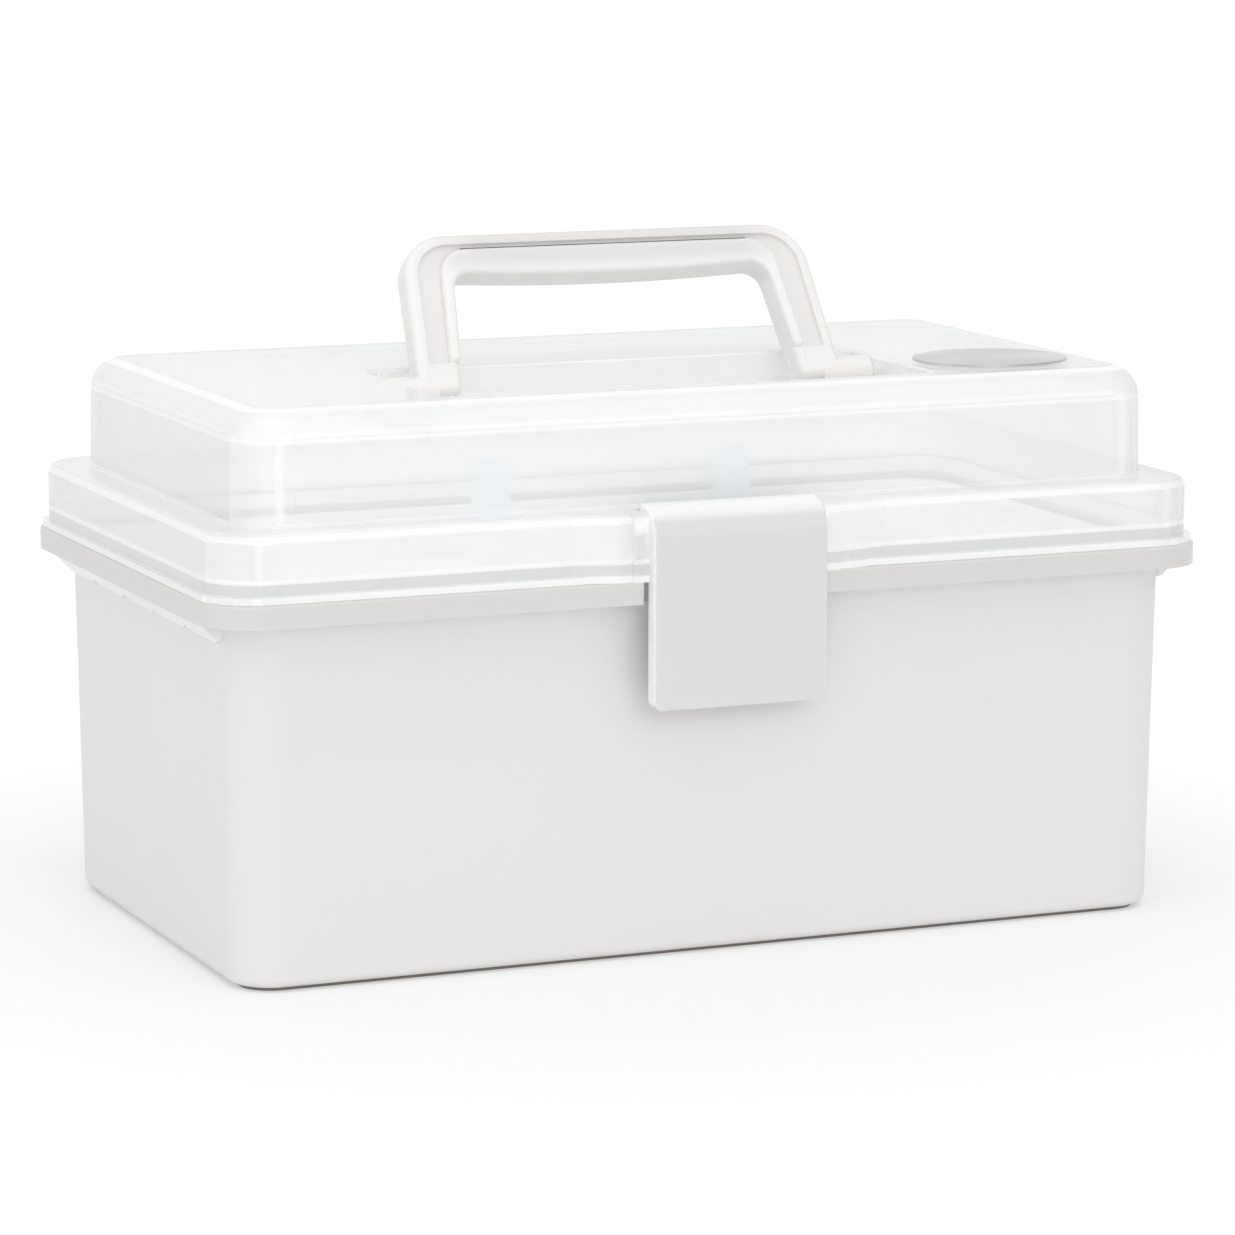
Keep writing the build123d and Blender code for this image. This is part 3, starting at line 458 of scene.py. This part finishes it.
def clear_plastic(name, look):
    """Clear, milky lid wall: mostly white haze that lets a little show through, gloss and flow waves, with
    painted highlights along its edges and rounds and painted shade in its crease and end walls.
    """
    finish = Finish(bpy.data.materials.new(name))
    colour = look.lid_colour
    share = finish.rise(finish.height(), LID_LOW, LID_HIGH)
    cloud = finish.noise(look.cloud_size, detail=3.0)
    rim = finish.node("ShaderNodeLayerWeight", None, {"Blend": LID_RIM_BLEND}, output="Facing")
    ends = finish.rise(finish.reach(), *LID_END_PAINTED_SHADE_FADE)
    painted_edge_highlight = lid_painted_edge_highlight(finish)

    tone = finish.blend(cloud, shade(colour, LID_CLOUD_TONE), shade(colour, 1.0))
    tone = finish.blend(look.lid_rim_shade * rim, tone, shade(colour, LID_SHADED_TONE))
    # Painted shade on the end walls, which face away from the light
    tone = finish.blend(look.lid_end_painted_shade * ends, tone, shade(colour, LID_SHADED_TONE))
    # Painted highlight on the rounded edges
    tone = finish.blend(LID_PAINTED_HIGHLIGHT_WHITE * painted_edge_highlight, tone, WHITE)
    # Painted shade in the crease above the flange, and painted highlight lines along the edges and rounds, by
    # height
    tone = finish.blend(finish.ramp(share, lid_stops("grey")), tone, shade(colour, LID_CREASE_PAINTED_SHADE))
    tone = finish.blend(finish.ramp(share, lid_stops("white")), tone, WHITE)

    variation = LID_CLOUD_SPREAD * (cloud - 0.5)
    haze = look.lid_haze + variation + look.lid_rim_haze * rim * rim
    # The painted highlight also makes the rounded edges more opaque
    haze = haze + look.lid_painted_edge_highlight_haze * painted_edge_highlight + finish.ramp(share, lid_stops("haze"))
    inward = finish.light_path("Is Shadow Ray") + finish.light_path("Is Diffuse Ray")
    wave = finish.noise(look.lid_wave_size, detail=1.5)
    return finish.surface(finish.node("ShaderNodeBsdfPrincipled", None, {
        "Base Color": tone,
        "Roughness": look.lid_roughness + variation,
        "Normal": finish.bump(wave, look.lid_wave_depth, LID_WAVE_STRENGTH),
        "IOR": LID_IOR,
        "Alpha": haze * (1.0 - look.lid_pass * inward),
    }))


def silver_plate(name, look):
    """Satin silver plate with fine brushing along its length, and cloudy lighter and darker patches painted
    as reflections.
    """
    finish = Finish(bpy.data.materials.new(name))
    brushing = finish.noise(BRUSH_SIZE, detail=3.0, roughness=0.7, stretch=BRUSH_STRETCH)
    # Painted reflection: cloudy patches stand for the lighter and darker reflections in the domed face
    cloud = finish.rise(finish.noise(BADGE_PAINTED_REFLECTION_SIZE, detail=1.0), *BADGE_PAINTED_REFLECTION_SPAN)
    darker, lighter = [shade(look.badge_colour, factor) for factor in BADGE_PAINTED_REFLECTION_TONES]
    return finish.surface(finish.node("ShaderNodeBsdfPrincipled", None, {
        "Base Color": finish.blend(cloud, darker, lighter),
        "Metallic": 1.0,
        "Roughness": look.badge_roughness + BRUSH_SPREAD * brushing,
        "Normal": finish.bump(brushing, BRUSH_DEPTH, BRUSH_STRENGTH),
    }))


def pale_floor(name, look):
    """Pale floor that keeps the shadow and looks white to the camera, to gloss and through the lid."""
    finish = Finish(bpy.data.materials.new(name))
    mottle = finish.noise(FLOOR_MOTTLE_SIZE, detail=2.0)
    darker, lighter = [
        shade(look.floor_colour, factor) for factor in (1.0 - FLOOR_MOTTLE_DEPTH, 1.0 + FLOOR_MOTTLE_DEPTH)
    ]
    matte = finish.node("ShaderNodeBsdfPrincipled", None, {
        "Base Color": finish.blend(mottle, darker, lighter),
        "Roughness": FLOOR_ROUGHNESS,
        "Specular IOR Level": FLOOR_SHINE,
    })
    glow = finish.node("ShaderNodeEmission", None, {"Color": WHITE, "Strength": look.floor_glow})
    away = finish.node("ShaderNodeVectorMath", {"operation": "LENGTH"}, {0: finish.place()}, output="Value")
    far = finish.rise(away, *FLOOR_FADE)
    seen = finish.light_path("Is Camera Ray") + finish.light_path("Is Glossy Ray")
    seen = seen + finish.light_path("Is Transmission Ray")
    share = seen * (look.floor_glow_share + (1.0 - look.floor_glow_share) * far)
    return finish.surface(finish.node("ShaderNodeMixShader", None, {0: share, 1: matte, 2: glow}))


# ---------------------------------------------------------------- settings

class CaseFinishes(bpy.types.PropertyGroup):
    """Colours and surface detail of the case."""

    base_colour: bpy.props.FloatVectorProperty(
        name="Base", description="Colour of the white base", subtype="COLOR", size=4,
        min=0.0, max=1.0, default=(0.825, 0.815, 0.805, 1.0))
    # Painted light: a lighter wall under the lip, in place of the shade that the lip casts
    under_lip_painted_light_colour: bpy.props.FloatVectorProperty(
        name="Under the lip", description="Colour of the wall where light comes through under the lip",
        subtype="COLOR", size=4, min=0.0, max=1.0, default=(0.95, 0.945, 0.94, 1.0))
    # Painted light: the thin gussets are lighter than the wall, as if lit through
    gusset_painted_light_colour: bpy.props.FloatVectorProperty(
        name="Gussets", description="Colour of the thin scalloped gussets", subtype="COLOR", size=4,
        min=0.0, max=1.0, default=(0.95, 0.945, 0.94, 1.0))
    # Painted shadow: this dark colour stands for the shade in the gap under the case
    foot_painted_shadow_colour: bpy.props.FloatVectorProperty(
        name="Underside", description="Colour of the dusty underside and foot plate", subtype="COLOR", size=4,
        min=0.0, max=1.0, default=(0.30, 0.27, 0.24, 1.0))
    # Partly the tray's own white, partly painted light: it is whiter than the base so the inside seen through
    # the lid looks lit
    tray_white_and_painted_light: bpy.props.FloatVectorProperty(
        name="Tray", description="Colour of the lift-out tray", subtype="COLOR", size=4,
        min=0.0, max=1.0, default=(0.96, 0.97, 0.97, 1.0))
    tab_colour: bpy.props.FloatVectorProperty(
        name="Tabs", description="Colour of the tray's thin finger tabs", subtype="COLOR", size=4,
        min=0.0, max=1.0, default=(0.86, 0.93, 1.0, 1.0))
    latch_colour: bpy.props.FloatVectorProperty(
        name="Latch", description="Colour of the latch", subtype="COLOR", size=4,
        min=0.0, max=1.0, default=(0.735, 0.735, 0.73, 1.0))
    # Painted light: colour of the latch's painted highlight on the bend and its lit-up side walls
    latch_painted_light: bpy.props.FloatVectorProperty(
        name="Latch bend", description="Colour of the latch's bend and side walls", subtype="COLOR", size=4,
        min=0.0, max=1.0, default=(0.99, 0.99, 0.985, 1.0))
    handle_colour: bpy.props.FloatVectorProperty(
        name="Handle", description="Colour of the carry handle", subtype="COLOR", size=4,
        min=0.0, max=1.0, default=(0.90, 0.885, 0.865, 1.0))
    lid_colour: bpy.props.FloatVectorProperty(
        name="Lid", description="Tint of the clear lid", subtype="COLOR", size=4,
        min=0.0, max=1.0, default=(0.975, 0.99, 0.99, 1.0))
    badge_colour: bpy.props.FloatVectorProperty(
        name="Badge", description="Colour of the silver badge", subtype="COLOR", size=4,
        min=0.0, max=1.0, default=(0.62, 0.62, 0.62, 1.0))
    floor_colour: bpy.props.FloatVectorProperty(
        name="Floor", description="Colour of the floor", subtype="COLOR", size=4,
        min=0.0, max=1.0, default=(0.92, 0.92, 0.92, 1.0))

    # Painted shade: how much darker the thick lip is painted than the wall
    lip_painted_shade: bpy.props.FloatProperty(
        name="Lip tone", description="Brightness of the thick lip beside that of the wall",
        subtype="FACTOR", min=0.0, max=1.0, default=0.86)
    # Painted shade: how much darker the channel, the grip bar and the groove line are painted
    channel_painted_shade: bpy.props.FloatProperty(
        name="Channel tone", description="Brightness of the handle's channel beside that of its rims",
        subtype="FACTOR", min=0.0, max=1.0, default=0.95)
    bar_painted_shade: bpy.props.FloatProperty(
        name="Bar tone", description="The same for the front of the grip bar",
        subtype="FACTOR", min=0.0, max=1.0, default=0.87)
    groove_painted_shadow: bpy.props.FloatProperty(
        name="Groove tone", description="The same for the groove line in the channel",
        subtype="FACTOR", min=0.0, max=1.0, default=0.3)

    base_roughness: bpy.props.FloatProperty(
        name="Base roughness", description="Roughness of the base's satin gloss",
        subtype="FACTOR", min=0.0, max=1.0, default=0.42)
    tray_roughness: bpy.props.FloatProperty(
        name="Tray roughness", description="Roughness of the tray's satin gloss",
        subtype="FACTOR", min=0.0, max=1.0, default=0.45)
    latch_roughness: bpy.props.FloatProperty(
        name="Latch roughness", description="Roughness of the latch's gloss",
        subtype="FACTOR", min=0.0, max=1.0, default=0.20)
    handle_roughness: bpy.props.FloatProperty(
        name="Handle roughness", description="Roughness of the handle's gloss",
        subtype="FACTOR", min=0.0, max=1.0, default=0.30)
    lid_roughness: bpy.props.FloatProperty(
        name="Lid roughness", description="Roughness of the lid's gloss",
        subtype="FACTOR", min=0.0, max=1.0, default=0.10)
    badge_roughness: bpy.props.FloatProperty(
        name="Badge roughness", description="Roughness of the badge between its brush marks",
        subtype="FACTOR", min=0.0, max=1.0, default=0.28)
    milkiness: bpy.props.FloatProperty(
        name="Milkiness", description="How much light scatters inside the white plastic",
        subtype="FACTOR", min=0.0, max=1.0, default=0.15)
    part_milkiness: bpy.props.FloatProperty(
        name="Small parts' milkiness", description="The same for the latch and the handle",
        subtype="FACTOR", min=0.0, max=1.0, default=0.4)

    cloud_size: bpy.props.FloatProperty(
        name="Cloud size", description="Size of the cloudy patches", subtype="DISTANCE", default=38.0 * MM)
    cloud_depth: bpy.props.FloatProperty(
        name="Cloud depth", description="How far the tone varies",
        subtype="FACTOR", min=0.0, max=1.0, default=0.012)
    grain_size: bpy.props.FloatProperty(
        name="Grain size", description="Size of the satin grain", subtype="DISTANCE", default=0.45 * MM)
    grain_depth: bpy.props.FloatProperty(
        name="Grain depth", description="Depth of the satin grain", subtype="DISTANCE", default=0.012 * MM)
    wave_size: bpy.props.FloatProperty(
        name="Wave size", description="Width of the moulding's sink waves",
        subtype="DISTANCE", default=55.0 * MM)
    wave_depth: bpy.props.FloatProperty(
        name="Wave depth", description="Depth of the sink waves", subtype="DISTANCE", default=0.35 * MM)
    rub_size: bpy.props.FloatProperty(
        name="Rub size", description="Size of the rubbed patches", subtype="DISTANCE", default=14.0 * MM)
    speck_spacing: bpy.props.FloatProperty(
        name="Speck spacing", description="Usual distance between specks",
        subtype="DISTANCE", default=30.0 * MM)
    speck_size: bpy.props.FloatProperty(
        name="Speck size", description="Radius of a speck", subtype="DISTANCE", default=0.3 * MM)
    speck_depth: bpy.props.FloatProperty(
        name="Speck depth", description="How dark the specks are",
        subtype="FACTOR", min=0.0, max=1.0, default=0.6)

    lid_haze: bpy.props.FloatProperty(
        name="Lid haze", description="Share of white in each face of the lid seen straight on",
        subtype="FACTOR", min=0.0, max=1.0, default=0.36)
    lid_rim_haze: bpy.props.FloatProperty(
        name="Lid rim haze", description="Extra white in faces seen edge on",
        subtype="FACTOR", min=0.0, max=1.0, default=0.60)
    # Painted highlight: extra white along the rounded edges stands for the light they catch
    lid_painted_edge_highlight_haze: bpy.props.FloatProperty(
        name="Lid edge haze", description="Extra white along the lid's rounded edges",
        subtype="FACTOR", min=0.0, max=1.0, default=0.30)
    lid_pass: bpy.props.FloatProperty(
        name="Lid light", description="Share of the haze that lets light pass to the inside",
        subtype="FACTOR", min=0.0, max=1.0, default=0.92)
    lid_rim_shade: bpy.props.FloatProperty(
        name="Lid rim shade", description="How much greyer the haze is in faces seen edge on",
        subtype="FACTOR", min=0.0, max=1.0, default=0.45)
    # Painted shade: how much greyer the end walls are painted
    lid_end_painted_shade: bpy.props.FloatProperty(
        name="Lid end shade", description="How much greyer the haze is in the lid's end walls",
        subtype="FACTOR", min=0.0, max=1.0, default=0.30)
    lid_wave_size: bpy.props.FloatProperty(
        name="Lid wave size", description="Width of the flow waves in the lid",
        subtype="DISTANCE", default=30.0 * MM)
    lid_wave_depth: bpy.props.FloatProperty(
        name="Lid wave depth", description="Depth of the flow waves in the lid",
        subtype="DISTANCE", default=0.15 * MM)

    floor_glow: bpy.props.FloatProperty(
        name="Floor white", description="Brightness of the floor's white as the camera sees it", default=1.05)
    floor_glow_share: bpy.props.FloatProperty(
        name="Floor white share", description="Share of that white in the floor near the case",
        subtype="FACTOR", min=0.0, max=1.0, default=0.42)


class CaseStage(bpy.types.PropertyGroup):
    """Lights and camera."""

    world_strength: bpy.props.FloatProperty(
        name="Sky", description="Brightness of the white surroundings", default=0.74)
    key_power: bpy.props.FloatProperty(
        name="Key light", description="Power of the large soft light", unit="POWER", default=5.0)
    fill_power: bpy.props.FloatProperty(
        name="Fill light", description="Power of the low front light", unit="POWER", default=11.5)
    side_power: bpy.props.FloatProperty(
        name="Side light", description="Power of the soft light at the left", unit="POWER", default=4.5)
    strip_power: bpy.props.FloatProperty(
        name="Strip light", description="Power of the narrow overhead light that draws the edges",
        unit="POWER", default=1.5)
    azimuth: bpy.props.FloatProperty(
        name="Azimuth", description="Camera's turn round the case", subtype="ANGLE", default=radians(-23.0))
    elevation: bpy.props.FloatProperty(
        name="Elevation", description="Camera's height angle", subtype="ANGLE", default=radians(9.65))
    roll: bpy.props.FloatProperty(
        name="Roll", description="Camera's tilt", subtype="ANGLE", default=radians(0.1))
    distance: bpy.props.FloatProperty(
        name="Distance", description="Camera to the case", subtype="DISTANCE", default=1.625)
    focal_pixels: bpy.props.FloatProperty(
        name="Focal length", description="Focal length in pixels of the frame",
        subtype="PIXEL", default=5090.0)
    offset_right: bpy.props.FloatProperty(
        name="Right", description="Camera moved right", subtype="DISTANCE", default=0.0018)
    offset_up: bpy.props.FloatProperty(
        name="Up", description="Camera moved up", subtype="DISTANCE", default=-0.0017)
    aim_height: bpy.props.FloatProperty(
        name="Aim height", description="Height that the camera looks at", subtype="DISTANCE", default=0.0925)


# ---------------------------------------------------------------- pieces

def finish_node(name, material):
    """Gives a CAD node one material in its own slots."""
    for slot in NODES[name].material_slots:
        slot.material = material


def mesh_object(name, mesh):
    """Smooth-shaded scene object from a bmesh."""
    data = bpy.data.meshes.new(name)
    mesh.to_mesh(data)
    mesh.free()
    for polygon in data.polygons:
        polygon.use_smooth = True
    piece = bpy.data.objects.new(name, data)
    bpy.context.scene.collection.objects.link(piece)
    return piece


def bridge(mesh, lower, upper):
    """Closed band of faces between two loops of as many points."""
    for index in range(len(lower)):
        after = (index + 1) % len(lower)
        mesh.faces.new((lower[index], lower[after], upper[after], upper[index]))


def plate_profile(low, high, half_length, rings, round_steps=4):
    """Badge plate's (share of its reach, height) from foot to dome: upright rim, its round, low dome."""
    wall_top = low + PLATE_WALL_SHARE * (high - low)
    profile = [(1.0, low), (1.0, wall_top)]
    for step in range(1, round_steps + 1):
        turn = pi / 2 * step / round_steps
        inward = PLATE_ROUND / half_length * (1.0 - cos(turn))
        profile.append((1.0 - inward, wall_top + PLATE_ROUND_RISE * sin(turn)))
    start, top = profile[-1]
    for ring in range(1, rings):
        share = 1.0 - ring / rings
        profile.append((start * share, top + (high - top) * (1.0 - share * share)))
    return profile


def domed_plate(name, low, high, rings=14, spokes=128):
    """Oval plate with a low domed face and a rounded rim, standing in the given box."""
    centre = (low + high) / 2
    half = (high - low) / 2
    mesh = bmesh.new()
    loops = []
    for share, height in plate_profile(low.z, high.z, half.x, rings):
        loops.append([
            mesh.verts.new((
                centre.x + half.x * share * cos(2 * pi * spoke / spokes),
                centre.y + half.y * share * sin(2 * pi * spoke / spokes),
                height,
            ))
            for spoke in range(spokes)
        ])
    for lower, upper in zip(loops, loops[1:]):
        bridge(mesh, lower, upper)
    crown = mesh.verts.new((centre.x, centre.y, high.z))
    foot = mesh.verts.new((centre.x, centre.y, low.z))
    for spoke in range(spokes):
        after = (spoke + 1) % spokes
        mesh.faces.new((loops[-1][spoke], loops[-1][after], crown))
        mesh.faces.new((loops[0][after], loops[0][spoke], foot))
    return mesh_object(name, mesh)


def tray_round(height):
    """Radius of the tray's outer corners at a height, which grows with its draft."""
    return TRAY_ROUND + (height - TRAY_LOW.z) * tan(TRAY_DRAFT)


def web_outline(side_x, side_y, height, turns):
    """Points round one corner web at a height: out along its inner arc and back along its outer one."""
    outer = tray_round(height)
    axis_x = TRAY_HIGH.x - TRAY_FLANGE - tray_round(TRAY_RIM)
    axis_y = -TRAY_LOW.y - tray_round(TRAY_RIM)
    path = [(outer - TRAY_WALL, turn) for turn in turns]
    path += [(outer - WEB_SKIN, turn) for turn in reversed(turns)]
    return [
        (side_x * (axis_x + radius * cos(turn)), side_y * (axis_y + radius * sin(turn)), height)
        for radius, turn in path
    ]


def corner_webs(name, steps=18):
    """Round inner corners of the tray's four outer corners, one wall thick, which close its thin rounds."""
    mesh = bmesh.new()
    turns = [pi / 2 * step / steps for step in range(steps + 1)]
    for side_x in (-1, 1):
        for side_y in (-1, 1):
            low, high = [
                [mesh.verts.new(point) for point in web_outline(side_x, side_y, height, turns)]
                for height in (WEB_LOW, WEB_HIGH)
            ]
            bridge(mesh, low, high)
            last = len(low) - 1
            for ring in (low, high):
                for step in range(steps):
                    mesh.faces.new((ring[step], ring[step + 1], ring[last - step - 1], ring[last - step]))
    bmesh.ops.recalc_face_normals(mesh, faces=mesh.faces)
    webs = mesh_object(name, mesh)
    webs.data.set_sharp_from_angle(angle=WEB_SHARP)
    return webs


# ---------------------------------------------------------------- floor, lights and camera

def sweep_backdrop(name, width, front, back, height, bend, steps=24):
    """Floor that turns up into a backdrop in one round bend."""
    line = [(front, 0.0), (back - bend, 0.0)]
    for step in range(1, steps + 1):
        turn = pi / 2 * step / steps
        line.append((back - bend + bend * sin(turn), bend - bend * cos(turn)))
    line.append((back, height))
    mesh = bmesh.new()
    rows = [
        [mesh.verts.new((side * width / 2, depth, rise)) for side in (-1, 1)]
        for depth, rise in line
    ]
    for near, far in zip(rows, rows[1:]):
        mesh.faces.new((near[0], near[1], far[1], far[0]))
    return mesh_object(name, mesh)


def area_light(name, power, size, place):
    """Soft rectangular light that looks at the middle of the case."""
    data = bpy.data.lights.new(name, "AREA")
    data.shape = "RECTANGLE"
    data.size, data.size_y = size
    data.energy = power
    light = bpy.data.objects.new(name, data)
    light.location = place
    light.rotation_euler = (Vector(LIGHT_AIM) - Vector(place)).to_track_quat("-Z", "Y").to_euler()
    bpy.context.scene.collection.objects.link(light)


def photo_camera(stage):
    """Camera at the photograph's angle, with its lens worked out from the frame's width."""
    turn, rise, roll = stage.azimuth, stage.elevation, stage.roll
    back = Vector((sin(turn) * cos(rise), -cos(turn) * cos(rise), sin(rise)))
    right = Vector((cos(turn), sin(turn), 0.0))
    up = back.cross(right)
    tilted_right = cos(roll) * right + sin(roll) * up
    tilted_up = cos(roll) * up - sin(roll) * right
    place = Vector((0.0, 0.0, stage.aim_height)) + back * stage.distance
    place += tilted_right * stage.offset_right + tilted_up * stage.offset_up
    axes = Matrix((tilted_right, tilted_up, back)).transposed().to_4x4()
    data = bpy.data.cameras.new("photo_camera")
    data.sensor_fit = "HORIZONTAL"
    data.sensor_width = SENSOR_WIDTH
    data.lens = stage.focal_pixels / PHOTO_WIDTH * SENSOR_WIDTH
    camera = bpy.data.objects.new("photo_camera", data)
    camera.matrix_world = Matrix.Translation(place) @ axes
    bpy.context.scene.collection.objects.link(camera)
    bpy.context.scene.camera = camera


def white_world(strength):
    """Even white surroundings, which the camera sees at full white."""
    surroundings = Finish(bpy.data.worlds.new("white_surroundings"))
    seen = surroundings.light_path("Is Camera Ray")
    sky = surroundings.node("ShaderNodeBackground", None, {
        "Color": WHITE,
        "Strength": strength + (1.0 - strength) * seen,
    })
    bpy.context.scene.world = surroundings.surface(sky, "ShaderNodeOutputWorld")


# ---------------------------------------------------------------- operators

class CASE_OT_base(bpy.types.Operator):
    """Finish the white base"""
    bl_idname = "storage_case.base"
    bl_label = "Base"

    def execute(self, context):
        look = context.scene.case_finishes
        finish_node("base_shell", moulded_plastic(
            "white_shell_finish", look, look.base_colour, look.base_roughness, look.milkiness, base_marks))
        return {"FINISHED"}


class CASE_OT_tray(bpy.types.Operator):
    """Finish the lift-out tray and close its thin corners"""
    bl_idname = "storage_case.tray"
    bl_label = "Tray"

    def execute(self, context):
        look = context.scene.case_finishes
        finish = moulded_plastic(
            "white_tray_finish", look, look.tray_white_and_painted_light, look.tray_roughness, look.milkiness, tray_marks)
        finish_node("lift_out_tray", finish)
        webs = corner_webs("tray_corner_webs")
        webs.data.materials.append(finish)
        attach(webs, "tray")
        return {"FINISHED"}


class CASE_OT_latch(bpy.types.Operator):
    """Finish the front latch"""
    bl_idname = "storage_case.latch"
    bl_label = "Latch"

    def execute(self, context):
        look = context.scene.case_finishes
        finish_node("front_latch", moulded_plastic(
            "white_latch_finish", look, look.latch_colour, look.latch_roughness, look.part_milkiness,
            latch_marks))
        return {"FINISHED"}


class CASE_OT_handle(bpy.types.Operator):
    """Finish the carry handle"""
    bl_idname = "storage_case.handle"
    bl_label = "Handle"

    def execute(self, context):
        look = context.scene.case_finishes
        finish_node("carry_handle", moulded_plastic(
            "white_handle_finish", look, look.handle_colour, look.handle_roughness, look.part_milkiness,
            handle_marks))
        return {"FINISHED"}


class CASE_OT_lid(bpy.types.Operator):
    """Finish the clear lid"""
    bl_idname = "storage_case.lid"
    bl_label = "Lid"

    def execute(self, context):
        finish_node("lid_shell", clear_plastic("clear_lid_finish", context.scene.case_finishes))
        return {"FINISHED"}


class CASE_OT_badge(bpy.types.Operator):
    """Make the bare silver badge with its low domed face"""
    bl_idname = "storage_case.badge"
    bl_label = "Badge"

    def execute(self, context):
        low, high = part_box("lid_badge")
        plate = domed_plate("badge_plate", low, high)
        plate.data.materials.append(silver_plate("badge_metal_finish", context.scene.case_finishes))
        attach(plate, "lid")
        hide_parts("lid_badge")
        return {"FINISHED"}


class CASE_OT_stage(bpy.types.Operator):
    """Make the floor, the lights and the camera"""
    bl_idname = "storage_case.stage"
    bl_label = "Stage"

    def execute(self, context):
        stage = context.scene.case_stage
        floor = sweep_backdrop("floor_sweep", width=9.0, front=-4.0, back=3.5, height=4.0, bend=1.2)
        floor.data.materials.append(pale_floor("floor_finish", context.scene.case_finishes))
        area_light("key_light", stage.key_power, KEY_SIZE, KEY_PLACE)
        area_light("fill_light", stage.fill_power, FILL_SIZE, FILL_PLACE)
        area_light("side_light", stage.side_power, SIDE_SIZE, SIDE_PLACE)
        area_light("strip_light", stage.strip_power, STRIP_SIZE, STRIP_PLACE)
        white_world(stage.world_strength)
        photo_camera(stage)
        context.scene.view_settings.view_transform = "Standard"
        return {"FINISHED"}


class CASE_PT_panel(bpy.types.Panel):
    """Sidebar panel with the settings and one button for each piece"""
    bl_idname = "CASE_PT_panel"
    bl_label = "Storage case"
    bl_space_type = "VIEW_3D"
    bl_region_type = "UI"
    bl_category = "Storage case"

    def draw(self, context):
        column = self.layout.column()
        for group in (context.scene.case_finishes, context.scene.case_stage):
            for name in group.__annotations__:
                column.prop(group, name)
        for operator in OPERATORS:
            column.operator(operator.bl_idname)


OPERATORS = (
    CASE_OT_base, CASE_OT_tray, CASE_OT_latch, CASE_OT_handle, CASE_OT_lid, CASE_OT_badge, CASE_OT_stage,
)
CLASSES = (CaseFinishes, CaseStage, *OPERATORS, CASE_PT_panel)


def register():
    """Adds the classes and their settings to Blender."""
    for cls in CLASSES:
        bpy.utils.register_class(cls)
    bpy.types.Scene.case_finishes = bpy.props.PointerProperty(type=CaseFinishes)
    bpy.types.Scene.case_stage = bpy.props.PointerProperty(type=CaseStage)


def unregister():
    """Takes them out again."""
    del bpy.types.Scene.case_stage
    del bpy.types.Scene.case_finishes
    for cls in reversed(CLASSES):
        bpy.utils.unregister_class(cls)


def main():
    """Makes every piece in order."""
    register()
    bpy.ops.storage_case.base()
    bpy.ops.storage_case.tray()
    bpy.ops.storage_case.latch()
    bpy.ops.storage_case.handle()
    bpy.ops.storage_case.lid()
    bpy.ops.storage_case.badge()
    bpy.ops.storage_case.stage()


if __name__ == "__main__":
    main()
